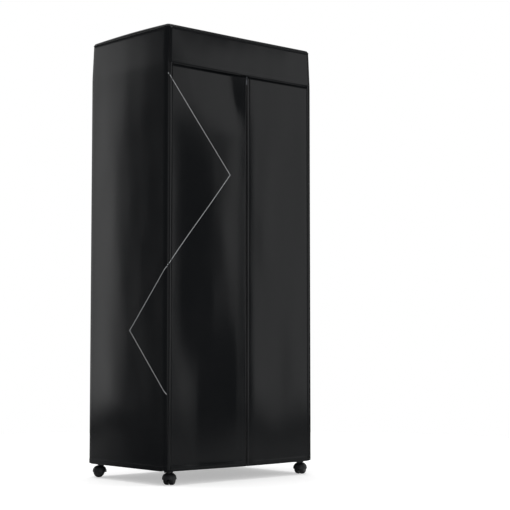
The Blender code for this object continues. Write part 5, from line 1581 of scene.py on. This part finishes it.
def make_world(scene, settings):
    """White where the camera looks. The white backdrop stands behind the dryer, and the room in front of it
    is darker where it is mirrored."""
    world = bpy.data.worlds.new("studio")
    scene.world = world
    world.use_nodes = True
    tree = world.node_tree
    tree.nodes.clear()
    path = add_node(tree, "ShaderNodeLightPath").outputs
    links = {0: path["Is Camera Ray"], 1: path["Is Glossy Ray"]}
    seen = add_node(tree, "ShaderNodeMath", links, operation="MAXIMUM")
    links = {0: seen.outputs[0], 1: path["Is Transmission Ray"]}
    shown = add_node(tree, "ShaderNodeMath", links, operation="MAXIMUM")
    ray = add_node(tree, "ShaderNodeTexCoord").outputs["Generated"]
    towards = add_node(tree, "ShaderNodeVectorMath", {0: ray, 1: BACKDROP_SIDE}, operation="DOT_PRODUCT")
    begins, full = BACKDROP_EDGES
    ends = {"From Min": begins, "From Max": full, "To Min": settings.room_mirrored, "To Max": 1.0}
    mirrored = add_node(tree, "ShaderNodeMapRange", {"Value": towards.outputs["Value"], **ends})
    links = {0: mirrored.outputs[0], 1: path["Is Camera Ray"]}
    white = add_node(tree, "ShaderNodeMath", links, operation="MAXIMUM")
    ends = {"To Min": settings.room_light, "To Max": white.outputs[0]}
    level = add_node(tree, "ShaderNodeMapRange", {"Value": shown.outputs[0], **ends})
    links = {"Color": (1, 1, 1, 1), "Strength": level.outputs["Result"]}
    light = add_node(tree, "ShaderNodeBackground", links)
    outlet = add_node(tree, "ShaderNodeOutputWorld", {"Surface": light.outputs["Background"]})
    outlet.is_active_output = True


def make_camera(scene):
    """A camera that sees the dryer as the photo's did."""
    camera = linked("camera", bpy.data.cameras.new("camera"))
    camera.data.lens = 95.1
    camera.data.sensor_width = 36
    camera.location = (-3.3039, -3.9861, 0.4947)
    camera.rotation_euler = (math.radians(93.829), 0, math.radians(-41.897))
    scene.camera = camera


class DRYER_OT_stage(bpy.types.Operator):
    """Pale floor, soft lamps, world and camera."""

    bl_idname = "dryer.stage"
    bl_label = "Stage"

    def execute(self, context):
        settings = context.scene.dryer_stage
        context.scene.view_settings.view_transform = "Standard"
        make_floor(settings)
        make_world(context.scene, settings)
        for name, place, size, target in LAMPS:
            place_lamp(name, place, size, target, getattr(settings, name))
        make_camera(context.scene)
        return {"FINISHED"}


FINISHES = {}

# Each smooth finish: its name, two colours, two levels of roughness, the scale of its blotches, and the scale
# and the depth of its skin.
SMOOTH_FINISHES = {
    # Injection-moulded ABS: clean white with a soft gloss.
    "white": ("moulded_white_abs", ("#e6e7e8", "#eeeff0"), (0.30, 0.38), 14.0, 700.0, 0.00003),
    # Cast acrylic, polished: deep black that mirrors the room.
    "panel": ("polished_black_acrylic", ("#111214", "#17181b"), (0.10, 0.18), 25.0, 300.0, 0.00001),
    # Moulded ABS from a finely textured mould: pale grey, satin.
    "button": ("pale_moulded_button", ("#c9cbcd", "#dadcdd"), (0.30, 0.42), 200.0, 1500.0, 0.00002),
    # Glass-fibre board under solder mask: uneven dark green, half gloss.
    "board": ("masked_circuit_board", ("#123b22", "#1b4a2c"), (0.30, 0.45), 180.0, 900.0, 0.00004),
    # Fired and glazed ceramic: warm white with a glassy skin.
    "lamp_foot": ("glazed_ceramic_socket", ("#dddcd6", "#e8e7e2"), (0.22, 0.34), 60.0, 900.0, 0.00003),
    # Pad-printed ink: thin, dark and dull.
    "ink": ("pad_printed_ink", ("#26282b", "#303236"), (0.45, 0.6), 500.0, 2500.0, 0.00001),
    # Drawn quartz tube: pale, with sharp reflections.
    "lamp": ("fused_quartz_lamp", ("#dfe6ee", "#f2f6fa"), (0.05, 0.12), 90.0, 400.0, 0.00001),
}

# Each bare metal: its name, two colours, two levels of roughness, and the scale of its grain each way.
BARE_METALS = {
    # Zinc-plated steel sheet, deep-drawn: grey with upright lines.
    "motor": ("zinc_plated_motor_can", ("#8f9194", "#a5a7aa"), (0.28, 0.42), (900.0, 900.0, 8.0)),
    # Rolled aluminium: bright, with lines across each fin.
    "fins": ("rolled_aluminium_fins", ("#b9babc", "#cacbcc"), (0.32, 0.48), (900.0, 12.0, 900.0)),
}


class DRYER_OT_finishes(bpy.types.Operator):
    """All finishes, and the node groups that make tubes, stitches and teeth."""

    bl_idname = "dryer.finishes"
    bl_label = "Finishes"

    def execute(self, context):
        FINISHES.update(
            cloth=coated_polyester(context.scene.dryer_cover),
            tape=woven_tape(),
            binding=binding_cloth(),
            thread=spun_thread(),
            nylon=moulded_nylon("moulded_black_nylon", ("#17181a", "#232427"), 0.48),
            teeth=moulded_nylon("moulded_zip_teeth", ("#0d0e0f", "#151617"), 0.5),
            base=moulded_nylon("moulded_heater_base", ("#1d1e20", "#2a2b2e"), 0.42),
            wheel=wheel_polymer(),
            chrome=chromed_steel(),
            zinc=blackened_zinc(),
            **{key: gloss_plastic(*values) for key, values in SMOOTH_FINISHES.items()},
            **{key: bare_metal(*values) for key, values in BARE_METALS.items()},
        )
        tube_tree()
        row_tree("beads_along_line", "GeometryNodeMeshIcoSphere", {"Radius": 0.5, "Subdivisions": 1})
        row_tree("plates_along_line", "GeometryNodeMeshCube", {})
        return {"FINISHED"}


class DRYER_PT_panel(bpy.types.Panel):
    """Lists the steps that build the dryer."""

    bl_label = "Portable Clothes Dryer"
    bl_idname = "DRYER_PT_panel"
    bl_space_type = "VIEW_3D"
    bl_region_type = "UI"
    bl_category = "Dryer"

    def draw(self, context):
        layout = self.layout
        for operator in OPERATORS:
            layout.operator(operator.bl_idname)
        for group in SETTINGS:
            settings = getattr(context.scene, group)
            for name in settings.bl_rna.properties.keys():
                if name not in ("rna_type", "name"):
                    layout.prop(settings, name)


SETTINGS = {
    "dryer_cover": CoverSettings,
    "dryer_frame": FrameSettings,
    "dryer_casters": CasterSettings,
    "dryer_heater": HeaterSettings,
    "dryer_stage": StageSettings,
}
OPERATORS = (
    DRYER_OT_finishes,
    DRYER_OT_stage,
    DRYER_OT_cover_shell,
    DRYER_OT_band,
    DRYER_OT_doors,
    DRYER_OT_zip,
    DRYER_OT_sewing,
    DRYER_OT_tubes,
    DRYER_OT_side_bars,
    DRYER_OT_casters,
    DRYER_OT_heater,
    DRYER_OT_heater_inside,
)
CLASSES = (*SETTINGS.values(), *OPERATORS, DRYER_PT_panel)


def register():
    for made in CLASSES:
        bpy.utils.register_class(made)
    for name, group in SETTINGS.items():
        setattr(bpy.types.Scene, name, bpy.props.PointerProperty(type=group))


def unregister():
    for name in SETTINGS:
        delattr(bpy.types.Scene, name)
    for made in reversed(CLASSES):
        bpy.utils.unregister_class(made)


def main():
    register()
    for operator in OPERATORS:
        group, action = operator.bl_idname.split(".")
        getattr(getattr(bpy.ops, group), action)()


if __name__ == "__main__":
    main()
